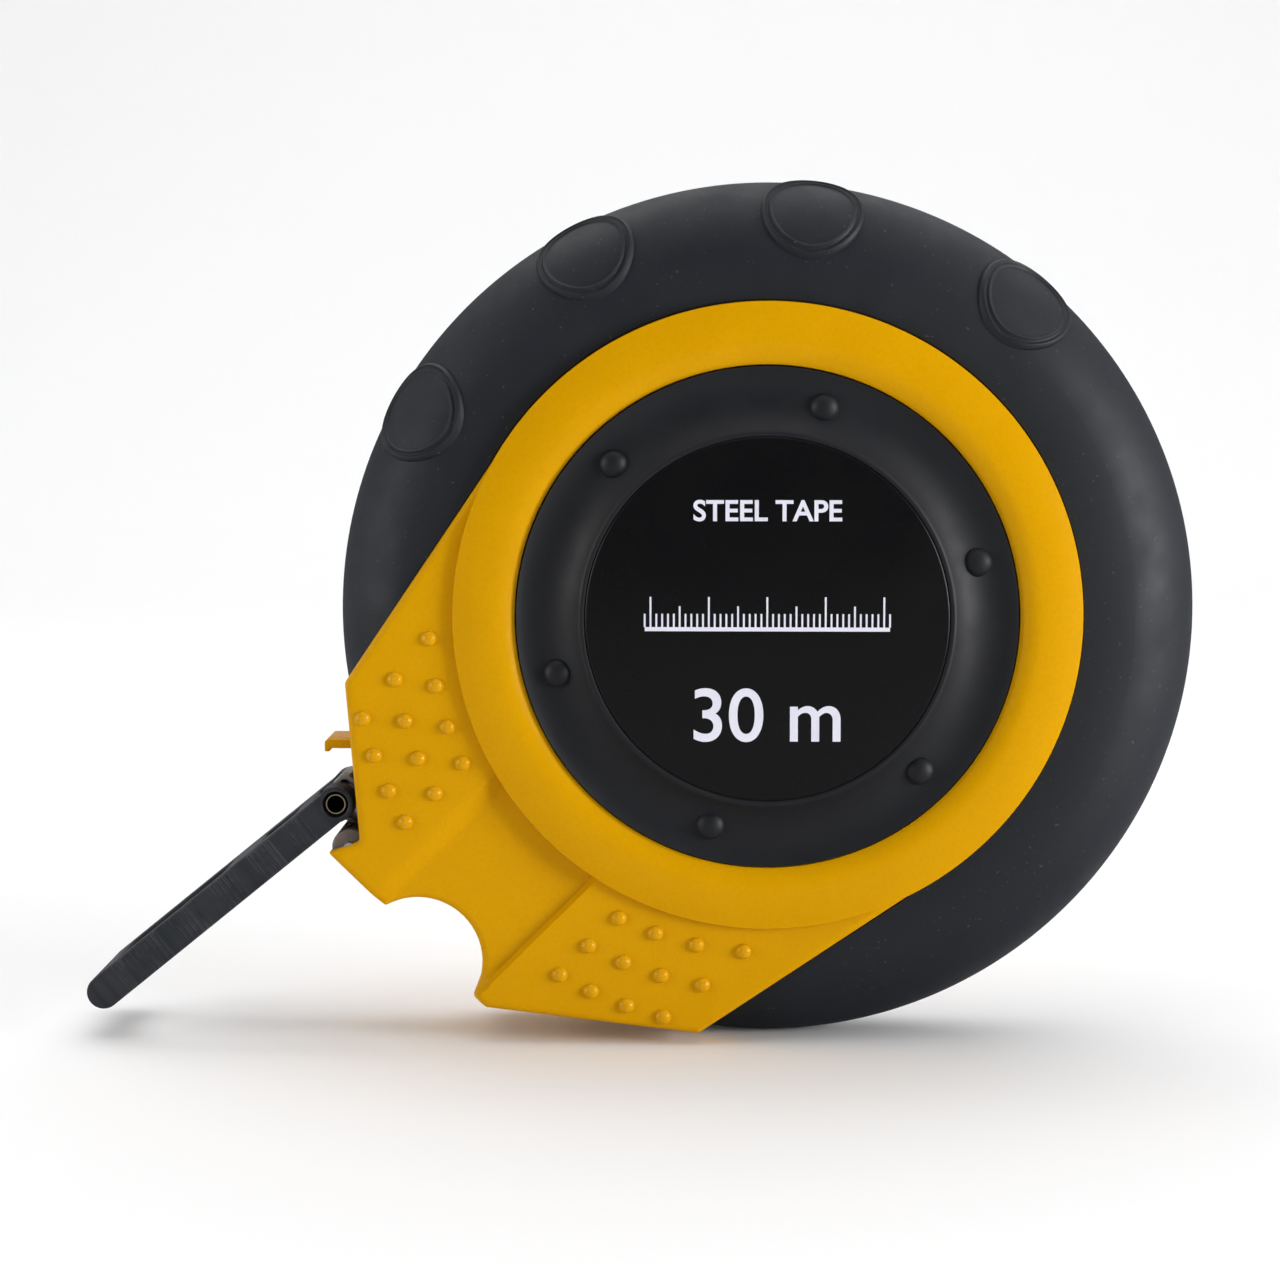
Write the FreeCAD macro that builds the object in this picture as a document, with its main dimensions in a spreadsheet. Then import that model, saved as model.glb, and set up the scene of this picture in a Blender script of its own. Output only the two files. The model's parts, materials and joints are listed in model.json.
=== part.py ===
"""Closed-case surveyor tape reel: 30 m steel tape, folding winding crank and folding end ring.

Frame: the label face is the plane Y = 0 with the drum axis on it as the origin. The drum axis runs
along Y, +Y towards the crank side, +X to the right of the label and +Z up. Depths in the sheet are
distances from the mid-plane of the case, where the two case halves meet.
"""
import FreeCAD, Part
import math
import os

import Sketcher

FRONT = -1
REAR = 1

SIZES = {
    # case, distances from the drum axis and depths from the mid-plane
    "mid_plane": 21.0,
    "rim_radius": 75.0,
    "shoulder_top": 63.5,
    "shoulder_arc": 16.0,
    "shoulder_centre": 59.6,
    "shoulder_centre_depth": -1.23,
    "grip_face_depth": 15.2,
    "shell_radius": 72.5,
    "shell_rim_depth": 6.0,
    "shell_cone_radius": 64.6,
    "shell_face_depth": 12.6,
    "cavity_radius": 70.3,
    "cavity_rim_depth": 6.5,
    "cavity_cone_radius": 66.2,
    "cavity_depth": 10.5,
    # raised ring
    "ring_outer": 54.4,
    "ring_inner": 43.5,
    "ring_edge_front": 17.6,
    "ring_edge_rear": 16.6,
    "ring_crown": 15.4,
    "ring_hollow_outer": 52.6,
    "ring_hollow_inner": 45.0,
    "ring_hollow_front": 15.9,
    "ring_hollow_rear": 14.9,
    "crank_opening": 41.5,
    "spindle_hole": 3.0,
    # nose, along its own axis and across it
    "nose_angle": 225.0,
    "nose_depth": 16.0,
    "nose_shoulder": 60.2,
    "nose_half_width": 43.6,
    "nose_end": 83.4,
    "nose_foot": 14.1,
    "nose_touch": 80.9,
    "nose_overlap": 0.9,
    "notch_radius": 11.3,
    "notch_centre": 86.3,
    "notch_half": 10.92,
    "mouth_inner": 78.2,
    "mouth_inner_side": 22.2,
    "beak_end": 83.6,
    "beak_side": 24.8,
    "nose_cavity_depth": 14.1,
    "space_root": 56.0,
    "space_root_side": 38.0,
    "space_bend": 66.0,
    "space_bend_side": 28.0,
    "space_lip": 70.5,
    "space_lip_side": 12.0,
    "space_gate": 72.0,
    "space_gate_side": 8.0,
    "space_outside": 87.0,
    "space_outside_side": 40.0,
    "space_roof": 75.0,
    "space_wall": 70.36,
    "space_wall_side": 31.75,
    "space_shelf": 62.6,
    "space_shelf_side": 32.17,
    "mouth_flare": 1.5,
    "channel_half": 11.4,
    "channel_depth": 1.0,
    "nose_screw_out": 78.9,
    "nose_screw_side": 15.4,
    "nose_screw_radius": 1.2,
    "nose_screw_head": 2.5,
    "nose_screw_tip": 9.0,
    "nose_screw_bottom": 10.0,
    "nose_screw_seat": 12.5,
    "nose_screw_top": 14.1,
    "overcut": 1.0,
    "weld": 0.5,
    "fit": 0.1,
    # rubber pads on the shoulder
    "pad_radius": 9.0,
    "pad_height": 9.0,
    "pad_above": 4.0,
    "pad_rise": 0.5,
    "pad_centre_radius": 70.5,
    "pad_centre_depth": 10.6,
    "pad_tilt": 45.0,
    "pad_first": 50.6,
    "pad_step": 33.1,
    # hub cover and label
    "label_radius": 31.2,
    "label_thick": 0.5,
    "cover_radius": 43.3,
    "cover_edge_depth": 18.0,
    "cover_lip_radius": 32.2,
    "cover_lip_depth": 20.8,
    "cover_dish_radius": 9.5,
    "cover_seat": 12.65,
    "cover_back_radius": 29.5,
    "cover_back_depth": 19.0,
    "cover_hollow_radius": 34.0,
    "cover_hollow_depth": 16.0,
    "cover_wall_radius": 40.8,
    "nub_radius": 2.45,
    "nub_circle": 37.4,
    "nub_first": 15.0,
    "nub_step": 60.0,
    "nub_top": 19.3,
    "nub_root": 16.5,
    # spindle and its hardware
    "spindle_radius": 3.0,
    "spindle_head_radius": 9.0,
    "spindle_head_depth": 14.6,
    "spindle_end": 11.3,
    "washer_bore": 3.1,
    "thrust_washer_radius": 8.0,
    "thrust_washer_thick": 1.2,
    "thrust_gap": 0.15,
    "end_washer_radius": 5.6,
    "end_washer_thick": 0.8,
    "spindle_screw_head": 3.4,
    "spindle_screw_head_thick": 0.9,
    "spindle_screw_radius": 1.5,
    "spindle_screw_length": 9.0,
    # drum
    "tape_half_width": 6.5,
    "tape_outer": 63.0,
    "tape_inner": 28.0,
    "tape_thick": 0.3,
    "flange_radius": 67.2,
    "flange_gap": 0.4,
    "flange_thick": 1.2,
    "hub_wall": 2.0,
    "hub_web": 1.7,
    "hub_tube_radius": 6.2,
    "hub_tube_front": 9.0,
    "hub_tube_rear": 10.3,
    "bush_outer": 4.6,
    "bush_bore": 3.05,
    # crank disc, crank arm and knob
    "disc_radius": 42.5,
    "disc_face": 17.2,
    "disc_thick": 2.5,
    "skirt_gap": 0.1,
    "skirt_thick": 2.4,
    "skirt_end": 2.0,
    "disc_screw_circle": 33.0,
    "disc_screw_first": 30.0,
    "disc_screw_step": 120.0,
    "disc_screw_radius": 1.2,
    "disc_boss_radius": 3.5,
    "disc_screw_head": 2.6,
    "disc_screw_head_thick": 1.6,
    "disc_screw_sink": 0.2,
    "crank_hinge_height": 24.0,
    "crank_hinge_depth": 17.6,
    "crank_near": 0.4,
    "crank_far": 3.6,
    "crank_barrel": 2.0,
    "crank_width": 14.8,
    "crank_slot_gap": 0.4,
    "crank_slot_depth": 3.6,
    "tray_depth": 12.4,
    "tray_wall": 1.2,
    "tray_hole": 4.4,
    "well_gap": 0.4,
    "well_floor": 1.0,
    "well_relief": 6.4,
    "crank_length": 37.5,
    "crank_end_radius": 8.0,
    "crank_recess_radius": 10.0,
    "crank_barrel_gap": 0.6,
    "lug_thick": 3.4,
    "lug_radius": 2.3,
    "hinge_pin_radius": 1.2,
    "hinge_pin_gap": 0.05,
    "knob_radius": 6.2,
    "knob_waist": 5.4,
    "knob_length": 15.7,
    "knob_waist_place": 0.6,
    "knob_edge": 0.8,
    "knob_tip_edge": 2.0,
    "knob_belly": 3.4,
    "knob_collar": 1.0,
    "knob_gap": 0.3,
    "knob_bore": 1.55,
    "knob_pin_radius": 1.5,
    "knob_pin_head": 3.0,
    "knob_pin_head_thick": 0.7,
    "knob_counterbore": 3.3,
    "knob_counterbore_depth": 1.2,
    # mouth roller and ring catch
    "roller_out": 80.4,
    "roller_side": 22.6,
    "roller_radius": 3.2,
    "roller_gap": 0.35,
    "roller_half_length": 13.8,
    "roller_bore": 1.05,
    "roller_pin_radius": 1.0,
    "roller_pin_depth": 15.1,
    "catch_half_width": 6.4,
    "catch_gap": 0.05,
    "catch_top": -22.83,
    "catch_under": -24.36,
    "catch_lip": -24.94,
    "catch_tip": -78.05,
    "catch_lip_inner": -77.2,
    "catch_root": -70.0,
    "catch_key": -71.4,
    "catch_key_top": -21.3,
    # end ring, in its own frame with the pivot as origin and the arm along X
    "pivot_left": 75.4,
    "pivot_down": 33.4,
    "end_ring_angle": 219.1,
    "end_ring_length": 53.3,
    "end_ring_half_thick": 2.95,
    "end_ring_boss": 3.2,
    "end_ring_half_width": 13.5,
    "fork_half_gap": 7.0,
    "finger_half_gap": 9.5,
    "bar_one_start": 4.5,
    "bar_one_end": 8.0,
    "bar_two_start": 17.0,
    "bar_two_end": 24.3,
    "finger_window_end": 50.3,
    "rivet_radius": 1.75,
    "rivet_bore": 1.45,
    "rivet_seat_radius": 2.3,
    "rivet_seat_depth": 1.2,
    "rivet_flange_thick": 0.4,
    # tape lead and end fitting
    "tape_rise": 29.5,
    "lead_tail": 29.0,
    "lead_end": 49.0,
    "fitting_radius": 2.85,
    "fitting_bore": 1.8,
    "fitting_half_width": 6.2,
    "fitting_leg": 13.0,
    "fitting_leg_thick": 1.4,
    "fitting_rivet_radius": 0.9,
    "fitting_rivet_back": 9.5,
    "fitting_rivet_length": 1.66,
    "fitting_rivet_side": 3.5,
}

doc = FreeCAD.newDocument("TapeReel")
sheet = doc.addObject("Spreadsheet::Sheet", "Sizes")
for row, (alias, size) in enumerate(SIZES.items(), start=1):
    sheet.set(f"A{row}", alias)
    sheet.set(f"B{row}", str(size))
    sheet.setAlias(f"B{row}", alias)
doc.recompute()

scratch = doc.addObject("Spreadsheet::Sheet", "Scratch")
nodes = []


def named(expression):
    """Turn sheet aliases in an expression into references to the sheet."""
    words = []
    for word in expression.replace("(", "( ").replace(")", " )").split():
        words.append(f"Sizes.{word}" if word in SIZES else word)
    return " ".join(words)


def number(expression):
    """Value of an expression of sheet aliases, worked out in a spare cell."""
    scratch.set("A1", f"={named(expression)}")
    scratch.recompute()
    value = scratch.get("A1")
    return float(getattr(value, "Value", value))


def deep(side, expression):
    """Y of a depth from the mid-plane, on the label side or the crank side."""
    return f"mid_plane {'-' if side == FRONT else '+'} ( {expression} )"


def bind(thing, prop, expression):
    thing.setExpression(prop, named(expression))


def finish(thing, label):
    """Give a finished sub-part its name and remember it."""
    thing.Label = label
    nodes.append(thing)
    return thing


# sketches


def plane_of(body, role):
    for feature in body.Origin.OriginFeatures:
        if feature.Role == role:
            return feature
    raise ValueError(role)


def new_sketch(body, role, name, offset="0", turn=None):
    """A sketch on one of the body's own planes, moved along the plane's normal."""
    sketch = body.newObject("Sketcher::SketchObject", name)
    sketch.AttachmentSupport = [(plane_of(body, role), "")]
    sketch.MapMode = "FlatFace"
    if turn:
        sketch.AttachmentOffset = FreeCAD.Placement(
            FreeCAD.Vector(0, 0, 0), FreeCAD.Rotation(FreeCAD.Vector(0, 0, 1), number(turn))
        )
    if offset != "0":
        bind(sketch, ".AttachmentOffset.Base.z", offset)
    return sketch


def arc_between(start, end, radius, left):
    """Arc from start to end; with left set, the arc bulges to the left of the way it runs."""
    chord = end - start
    middle = (start + end) * 0.5
    normal = FreeCAD.Vector(-chord.y, chord.x, 0).normalize()
    rise = math.sqrt(max(radius**2 - (chord.Length / 2) ** 2, 0.0))
    centre = middle - normal * rise if left else middle + normal * rise
    begin_at = math.atan2(start.y - centre.y, start.x - centre.x)
    end_at = math.atan2(end.y - centre.y, end.x - centre.x)
    circle = Part.Circle(centre, FreeCAD.Vector(0, 0, 1), radius)
    if left:
        return Part.ArcOfCircle(circle, end_at, begin_at)
    return Part.ArcOfCircle(circle, begin_at, end_at)


def outline(sketch, corners):
    """Closed outline. A corner is (x, y), or (x, y, radius, left) when an arc runs on to the next."""
    spots = [FreeCAD.Vector(number(c[0]), number(c[1]), 0) for c in corners]
    count = len(corners)
    first_point = []
    last_point = []
    for index, corner in enumerate(corners):
        start = spots[index]
        end = spots[(index + 1) % count]
        if len(corner) == 2:
            sketch.addGeometry(Part.LineSegment(start, end), False)
            first_point.append(1)
            last_point.append(2)
            continue
        sketch.addGeometry(arc_between(start, end, number(corner[2]), corner[3]), False)
        first_point.append(2 if corner[3] else 1)
        last_point.append(1 if corner[3] else 2)
        radius = sketch.addConstraint(Sketcher.Constraint("Radius", index, number(corner[2])))
        bind(sketch, f"Constraints[{radius}]", corner[2])
    for index in range(count):
        following = (index + 1) % count
        sketch.addConstraint(
            Sketcher.Constraint("Coincident", index, last_point[index], following, first_point[following])
        )
    for index, corner in enumerate(corners):
        for axis, kind in enumerate(("DistanceX", "DistanceY")):
            size = number(corner[axis])
            held = sketch.addConstraint(
                Sketcher.Constraint(kind, -1, 1, index, first_point[index], size)
            )
            bind(sketch, f"Constraints[{held}]", corner[axis])


def circle_at(sketch, across, up, radius):
    """Circle with its centre held by two sizes and its radius by a third."""
    centre = FreeCAD.Vector(number(across), number(up), 0)
    index = sketch.addGeometry(Part.Circle(centre, FreeCAD.Vector(0, 0, 1), number(radius)), False)
    held = sketch.addConstraint(Sketcher.Constraint("Radius", index, number(radius)))
    bind(sketch, f"Constraints[{held}]", radius)
    for kind, size in (("DistanceX", across), ("DistanceY", up)):
        held = sketch.addConstraint(Sketcher.Constraint(kind, -1, 1, index, 3, number(size)))
        bind(sketch, f"Constraints[{held}]", size)


# PartDesign features


def new_body(label):
    body = doc.addObject("PartDesign::Body", f"Body_{label}")
    body.Label = f"{label} body"
    return body


def turned(body, name, corners, kind="PartDesign::Revolution"):
    """Revolution, or Groove, of an outline of (distance from the axis, Y) about the drum axis."""
    sketch = new_sketch(body, "XY_Plane", f"{name}Profile")
    outline(sketch, corners)
    feature = body.newObject(kind, name)
    feature.Profile = sketch
    feature.ReferenceAxis = (sketch, ["V_Axis"])
    feature.Angle = 360.0
    doc.recompute()
    return feature


def side_pad(body, name, draw, near, far, kind="PartDesign::Pad", turn=None):
    """Pad or Pocket of a side-view outline (X across, Z up) between two values of Y."""
    cutting = kind == "PartDesign::Pocket"
    start = near if cutting else far
    sketch = new_sketch(body, "XZ_Plane", f"{name}Outline", f"0 - ( {start} )", turn)
    draw(sketch)
    feature = body.newObject(kind, name)
    feature.Profile = sketch
    bind(feature, "Length", f"( {far} ) - ( {near} )")
    doc.recompute()
    return feature


def checked_cut(feature, before):
    """Stop if a cutting feature removed nothing."""
    if feature.Shape.Volume > before - 0.5:
        raise RuntimeError(f"{feature.Name} cut nothing")


def cut_side(body, name, draw, near, far, turn=None):
    before = body.Tip.Shape.Volume
    feature = side_pad(body, name, draw, near, far, "PartDesign::Pocket", turn)
    checked_cut(feature, before)
    return feature


# Part primitives


def rod(name, radius, near, far, across="0", up="0"):
    """Cylinder along Y between two values of Y, with its axis at X across and Z up."""
    thing = doc.addObject("Part::Cylinder", name)
    bind(thing, "Radius", radius)
    bind(thing, "Height", f"( {far} ) - ( {near} )")
    thing.Placement.Rotation = FreeCAD.Rotation(FreeCAD.Vector(1, 0, 0), -90)
    bind(thing, "Placement.Base.x", across)
    bind(thing, "Placement.Base.y", near)
    bind(thing, "Placement.Base.z", up)
    return thing


def cross_rod(name, radius, length, depth, up):
    """Cylinder along X, centred on the YZ plane."""
    thing = doc.addObject("Part::Cylinder", name)
    bind(thing, "Radius", radius)
    bind(thing, "Height", length)
    thing.Placement.Rotation = FreeCAD.Rotation(FreeCAD.Vector(0, 1, 0), 90)
    bind(thing, "Placement.Base.x", f"0 - ( {length} ) / 2")
    bind(thing, "Placement.Base.y", depth)
    bind(thing, "Placement.Base.z", up)
    return thing


def block(name, low, high):
    """Box between two corners given as expressions."""
    thing = doc.addObject("Part::Box", name)
    for prop, axis, start, end in zip(("Length", "Width", "Height"), "xyz", low, high):
        bind(thing, prop, f"( {end} ) - ( {start} )")
        bind(thing, f"Placement.Base.{axis}", start)
    return thing


def joined(name, things):
    thing = doc.addObject("Part::MultiFuse", name)
    thing.Shapes = things
    thing.Refine = True
    return thing


def cut(name, base, tools):
    tool = tools[0] if len(tools) == 1 else joined(f"{name}Tools", tools)
    thing = doc.addObject("Part::Cut", name)
    thing.Base = base
    thing.Tool = tool
    return thing


def sleeve(name, outer, inner, near, far, across="0", up="0"):
    """Plain tube along Y."""
    body = rod(f"{name}Outside", outer, near, far, across, up)
    hole = rod(f"{name}Hole", inner, near, far, across, up)
    return cut(name, body, [hole])


def nose_point(out, side):
    """X and Z of a point given along the nose's axis and across it, towards the mouth."""
    turn_out = "cos( nose_angle * 1 deg )"
    turn_up = "sin( nose_angle * 1 deg )"
    across = f"( {out} ) * {turn_out} + ( {side} ) * {turn_up}"
    up = f"( {out} ) * {turn_up} - ( {side} ) * {turn_out}"
    return across, up


# case halves


def nose_corners():
    """Outline of the nose: tangent edges from the ring to the shoulders, beak, notch and foot."""
    wall = "ring_outer - nose_overlap"
    touch = math.radians(number("nose_touch"))
    near_out = math.cos(touch)
    near_side = math.sin(touch)
    return [
        (f"( {wall} ) * {near_out}", f"( {wall} ) * -{near_side}", wall, False),
        (f"( {wall} ) * {near_out}", f"( {wall} ) * {near_side}"),
        (f"ring_outer * {near_out}", f"ring_outer * {near_side}"),
        ("nose_shoulder", "nose_half_width"),
        ("nose_end", "nose_foot"),
        ("notch_centre - sqrt( notch_radius ^ 2 - notch_half ^ 2 )", "notch_half", "notch_radius", False),
        ("notch_centre - sqrt( notch_radius ^ 2 - notch_half ^ 2 )", "0 - notch_half"),
        ("beak_end", "0 - beak_side"),
        ("mouth_inner", "0 - mouth_inner_side"),
        ("nose_shoulder", "0 - nose_half_width"),
        (f"ring_outer * {near_out}", f"ring_outer * -{near_side}"),
    ]


def nose_cavity_corners():
    """Hollow behind the nose plate, open to the drum space and to the mouth."""
    lip_out = "mouth_inner + ( beak_end - mouth_inner ) * mouth_flare"
    lip_side = "0 - mouth_inner_side - ( beak_side - mouth_inner_side ) * mouth_flare"
    return [
        ("space_root", "space_root_side"),
        ("space_bend", "space_bend_side"),
        ("space_lip", "space_lip_side"),
        ("space_gate", "0 - space_gate_side"),
        ("mouth_inner", "0 - mouth_inner_side"),
        (lip_out, lip_side),
        ("space_outside", "0 - space_outside_side"),
        ("space_roof", "0 - space_outside_side"),
        ("space_wall", "0 - space_wall_side"),
        ("space_shelf", "0 - space_shelf_side"),
        ("space_root", "0 - space_root_side"),
    ]


def side_limits(side, shallow, deep_edge):
    """Y values of two depths on one side, smaller Y first."""
    near = deep(side, shallow)
    far = deep(side, deep_edge)
    return (far, near) if side == FRONT else (near, far)


def shell(side, label):
    """One hard case half: cup, raised ring, nose and mouth."""
    body = new_body(label)
    ring_edge = "ring_edge_front" if side == FRONT else "ring_edge_rear"
    hollow = "ring_hollow_front" if side == FRONT else "ring_hollow_rear"
    hole = "spindle_hole" if side == FRONT else "crank_opening"
    crown_left = side == REAR
    turned(body, f"{label}Cup", [
        (hole, deep(side, "cavity_depth")),
        ("ring_hollow_inner", deep(side, "cavity_depth")),
        ("ring_hollow_inner", deep(side, hollow)),
        ("ring_hollow_outer", deep(side, hollow)),
        ("ring_hollow_outer", deep(side, "cavity_depth")),
        ("cavity_cone_radius", deep(side, "cavity_depth")),
        ("cavity_radius", deep(side, "cavity_rim_depth")),
        ("cavity_radius", deep(side, "0")),
        ("shell_radius", deep(side, "0")),
        ("shell_radius", deep(side, "shell_rim_depth")),
        ("shell_cone_radius", deep(side, "shell_face_depth")),
        ("ring_outer", deep(side, "shell_face_depth")),
        ("ring_outer", deep(side, ring_edge), "ring_crown", not crown_left),
        ("ring_inner", deep(side, ring_edge)),
        ("ring_inner", deep(side, "shell_face_depth")),
        (hole, deep(side, "shell_face_depth")),
    ])
    near, far = side_limits(side, "0", "nose_depth")
    side_pad(body, f"{label}Nose", lambda s: outline(s, nose_corners()), near, far, turn="nose_angle")
    before = body.Tip.Shape.Volume
    groove = turned(body, f"{label}DrumSpace", [
        ("0", deep(side, "0")),
        ("cavity_radius", deep(side, "0")),
        ("cavity_radius", deep(side, "cavity_rim_depth")),
        ("cavity_cone_radius", deep(side, "cavity_depth")),
        ("0", deep(side, "cavity_depth")),
    ], "PartDesign::Groove")
    checked_cut(groove, before)
    near, far = side_limits(side, "0", "nose_cavity_depth")
    cut_side(body, f"{label}MouthSpace", lambda s: outline(s, nose_cavity_corners()), near, far, "nose_angle")
    seat = "roller_radius + roller_gap"
    cut_side(body, f"{label}RollerSpace",
             lambda s: circle_at(s, "roller_out", "0 - roller_side", seat), near, far, "nose_angle")
    near, far = side_limits(side, "nose_cavity_depth", "roller_pin_depth")
    cut_side(body, f"{label}RollerPinHole",
             lambda s: circle_at(s, "roller_out", "0 - roller_side", "roller_pin_radius"),
             near, far, "nose_angle")
    near, far = side_limits(side, "nose_depth - channel_depth", "nose_depth")
    cut_side(body, f"{label}Channel", lambda s: outline(s, [
        ("ring_outer", "0 - channel_half"),
        ("nose_end + overcut", "0 - channel_half"),
        ("nose_end + overcut", "channel_half"),
        ("ring_outer", "channel_half"),
    ]), near, far, "nose_angle")
    near, far = side_limits(side, "0", "catch_half_width + catch_gap")
    cut_side(body, f"{label}CatchSlot", lambda s: outline(s, catch_slot_corners()), near, far)
    return body


def catch_slot_corners():
    """Slot for the catch, open to the outside of the nose."""
    return [
        ("catch_tip", "catch_under - catch_gap"),
        ("catch_tip", "catch_top + catch_gap"),
        ("catch_key - catch_gap", "catch_top + catch_gap"),
        ("catch_key - catch_gap", "catch_key_top + catch_gap"),
        ("catch_root + catch_gap", "catch_key_top + catch_gap"),
        ("catch_root + catch_gap", "catch_under - catch_gap"),
    ]


def screw_axis(sign):
    return nose_point("nose_screw_out", f"{sign} * nose_screw_side")


def case_halves():
    """The two halves, with the nose screws' holes: blind in the front one, through the rear one."""
    front = shell(FRONT, "front_shell")
    rear = shell(REAR, "rear_shell")
    front_tools = []
    rear_tools = []
    for index, sign in enumerate(("1", "-1")):
        across, up = screw_axis(sign)
        front_tools.append(rod(f"FrontScrewHole{index}", "nose_screw_radius",
                               deep(FRONT, "nose_screw_bottom"), deep(FRONT, "0"), across, up))
        rear_tools.append(rod(f"RearScrewHole{index}", "nose_screw_radius", deep(REAR, "0"),
                              deep(REAR, "nose_screw_seat"), across, up))
        rear_tools.append(rod(f"RearScrewSeat{index}", "nose_screw_head + fit",
                              deep(REAR, "nose_screw_seat"), deep(REAR, "nose_depth + overcut"), across, up))
    finish(cut("FrontShell", front, front_tools), "front_shell")
    finish(cut("RearShell", rear, rear_tools), "rear_shell")
    screws = []
    for index, sign in enumerate(("1", "-1")):
        across, up = screw_axis(sign)
        shank = rod(f"NoseScrewShank{index}", "nose_screw_radius", deep(FRONT, "nose_screw_tip"),
                    deep(REAR, "nose_screw_seat"), across, up)
        head = rod(f"NoseScrewHead{index}", "nose_screw_head", deep(REAR, "nose_screw_seat"),
                   deep(REAR, "nose_screw_top"), across, up)
        screws.append(joined(f"NoseScrew{index}", [shank, head]))
    group = doc.addObject("Part::Compound", "HousingScrews")
    group.Links = screws
    finish(group, "housing_screws")


def shoulder(side, rise):
    """Round outside of the rubber from the rim to the face, moved out by a rise."""
    arc = f"shoulder_arc + {rise}"
    rim = f"rim_radius + {rise}"
    rim_depth = f"shoulder_centre_depth + sqrt( ( {arc} ) ^ 2 - ( {rim} - shoulder_centre ) ^ 2 )"
    top_depth = f"shoulder_centre_depth + sqrt( ( {arc} ) ^ 2 - ( shoulder_top - shoulder_centre ) ^ 2 )"
    return [
        (rim, deep(side, "0")),
        (rim, deep(side, rim_depth), arc, side == FRONT),
        ("shoulder_top", deep(side, top_depth)),
        ("ring_outer", deep(side, f"grip_face_depth + {rise}")),
    ]


def grip(side, label):
    """Rubber cover of one half, cut back to the nose, with its four round pads."""
    body = new_body(label)
    turned(body, f"{label}Cover", [
        ("ring_outer", deep(side, "shell_face_depth")),
        ("shell_cone_radius", deep(side, "shell_face_depth")),
        ("shell_radius", deep(side, "shell_rim_depth")),
        ("shell_radius", deep(side, "0")),
    ] + shoulder(side, "0"))
    near, far = side_limits(side, "0", "nose_depth + overcut")
    raised = new_body(f"{label}_raised")
    turned(raised, f"{label}Raised", [("ring_outer", deep(side, "0"))] + shoulder(side, "pad_rise"))
    rounds = joined(f"{label}Rounds", [pad(side, f"{label}Pad{index}", index) for index in range(4)])
    pads = doc.addObject("Part::Common", f"{label}Pads")
    pads.Base = raised
    pads.Tool = rounds
    covered = joined(f"{label}WithPads", [body, pads])
    inside = new_body(f"{label}_inside")
    turned(inside, f"{label}Inside", [
        ("0", deep(side, "0")),
        ("shell_radius", deep(side, "0")),
        ("shell_radius", deep(side, "shell_rim_depth")),
        ("shell_cone_radius", deep(side, "shell_face_depth")),
        ("0", deep(side, "shell_face_depth")),
    ])
    nose = new_body(f"{label}_nose")
    side_pad(nose, f"{label}NoseGap", lambda s: outline(s, nose_corners()), near, far, turn="nose_angle")
    thing = cut(f"{label}Trimmed", covered, [inside, nose])
    finish(thing, label)


def pad(side, name, index):
    """Cylinder that gives a pad its round outline, square to the shoulder."""
    thing = doc.addObject("Part::Cylinder", name)
    bind(thing, "Radius", "pad_radius")
    bind(thing, "Height", "pad_height")
    angle = number(f"pad_first + pad_step * {index}")
    tilt = number("pad_tilt")
    outward = FreeCAD.Vector(math.cos(math.radians(angle)), 0, math.sin(math.radians(angle)))
    axis = FreeCAD.Vector(0, side, 0) * math.cos(math.radians(tilt)) + outward * math.sin(math.radians(tilt))
    start = outward * number("pad_centre_radius")
    start.y = number(deep(side, "pad_centre_depth"))
    start -= axis * number("pad_height - pad_above")
    thing.Placement = FreeCAD.Placement(start, FreeCAD.Rotation(FreeCAD.Vector(0, 0, 1), axis))
    return thing


# front centre


def hub_cover():
    """Dished cover inside the front ring, with six small nubs."""
    body = new_body("hub_cover")
    turned(body, "CoverDish", [
        ("0", deep(FRONT, "cover_back_depth")),
        ("cover_back_radius", deep(FRONT, "cover_back_depth")),
        ("cover_hollow_radius", deep(FRONT, "cover_hollow_depth")),
        ("cover_wall_radius", deep(FRONT, "cover_hollow_depth")),
        ("cover_wall_radius", deep(FRONT, "cover_seat")),
        ("cover_radius", deep(FRONT, "cover_seat")),
        ("cover_radius", deep(FRONT, "cover_edge_depth"), "cover_dish_radius", False),
        ("cover_lip_radius", deep(FRONT, "cover_lip_depth")),
        ("label_radius + fit", deep(FRONT, "cover_lip_depth")),
        ("label_radius + fit", "label_thick"),
        ("0", "label_thick"),
    ])
    nubs = []
    for index in range(6):
        angle = math.radians(number(f"nub_first + nub_step * {index}"))
        across = f"nub_circle * {math.cos(angle)}"
        up = f"nub_circle * {math.sin(angle)}"
        nubs.append(rod(f"Nub{index}", "nub_radius", deep(FRONT, "nub_top"), deep(FRONT, "nub_root"),
                        across, up))
    finish(joined("HubCover", [body] + nubs), "hub_cover")
    finish(rod("LabelDisc", "label_radius", "0", "label_thick"), "label_disc")


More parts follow.
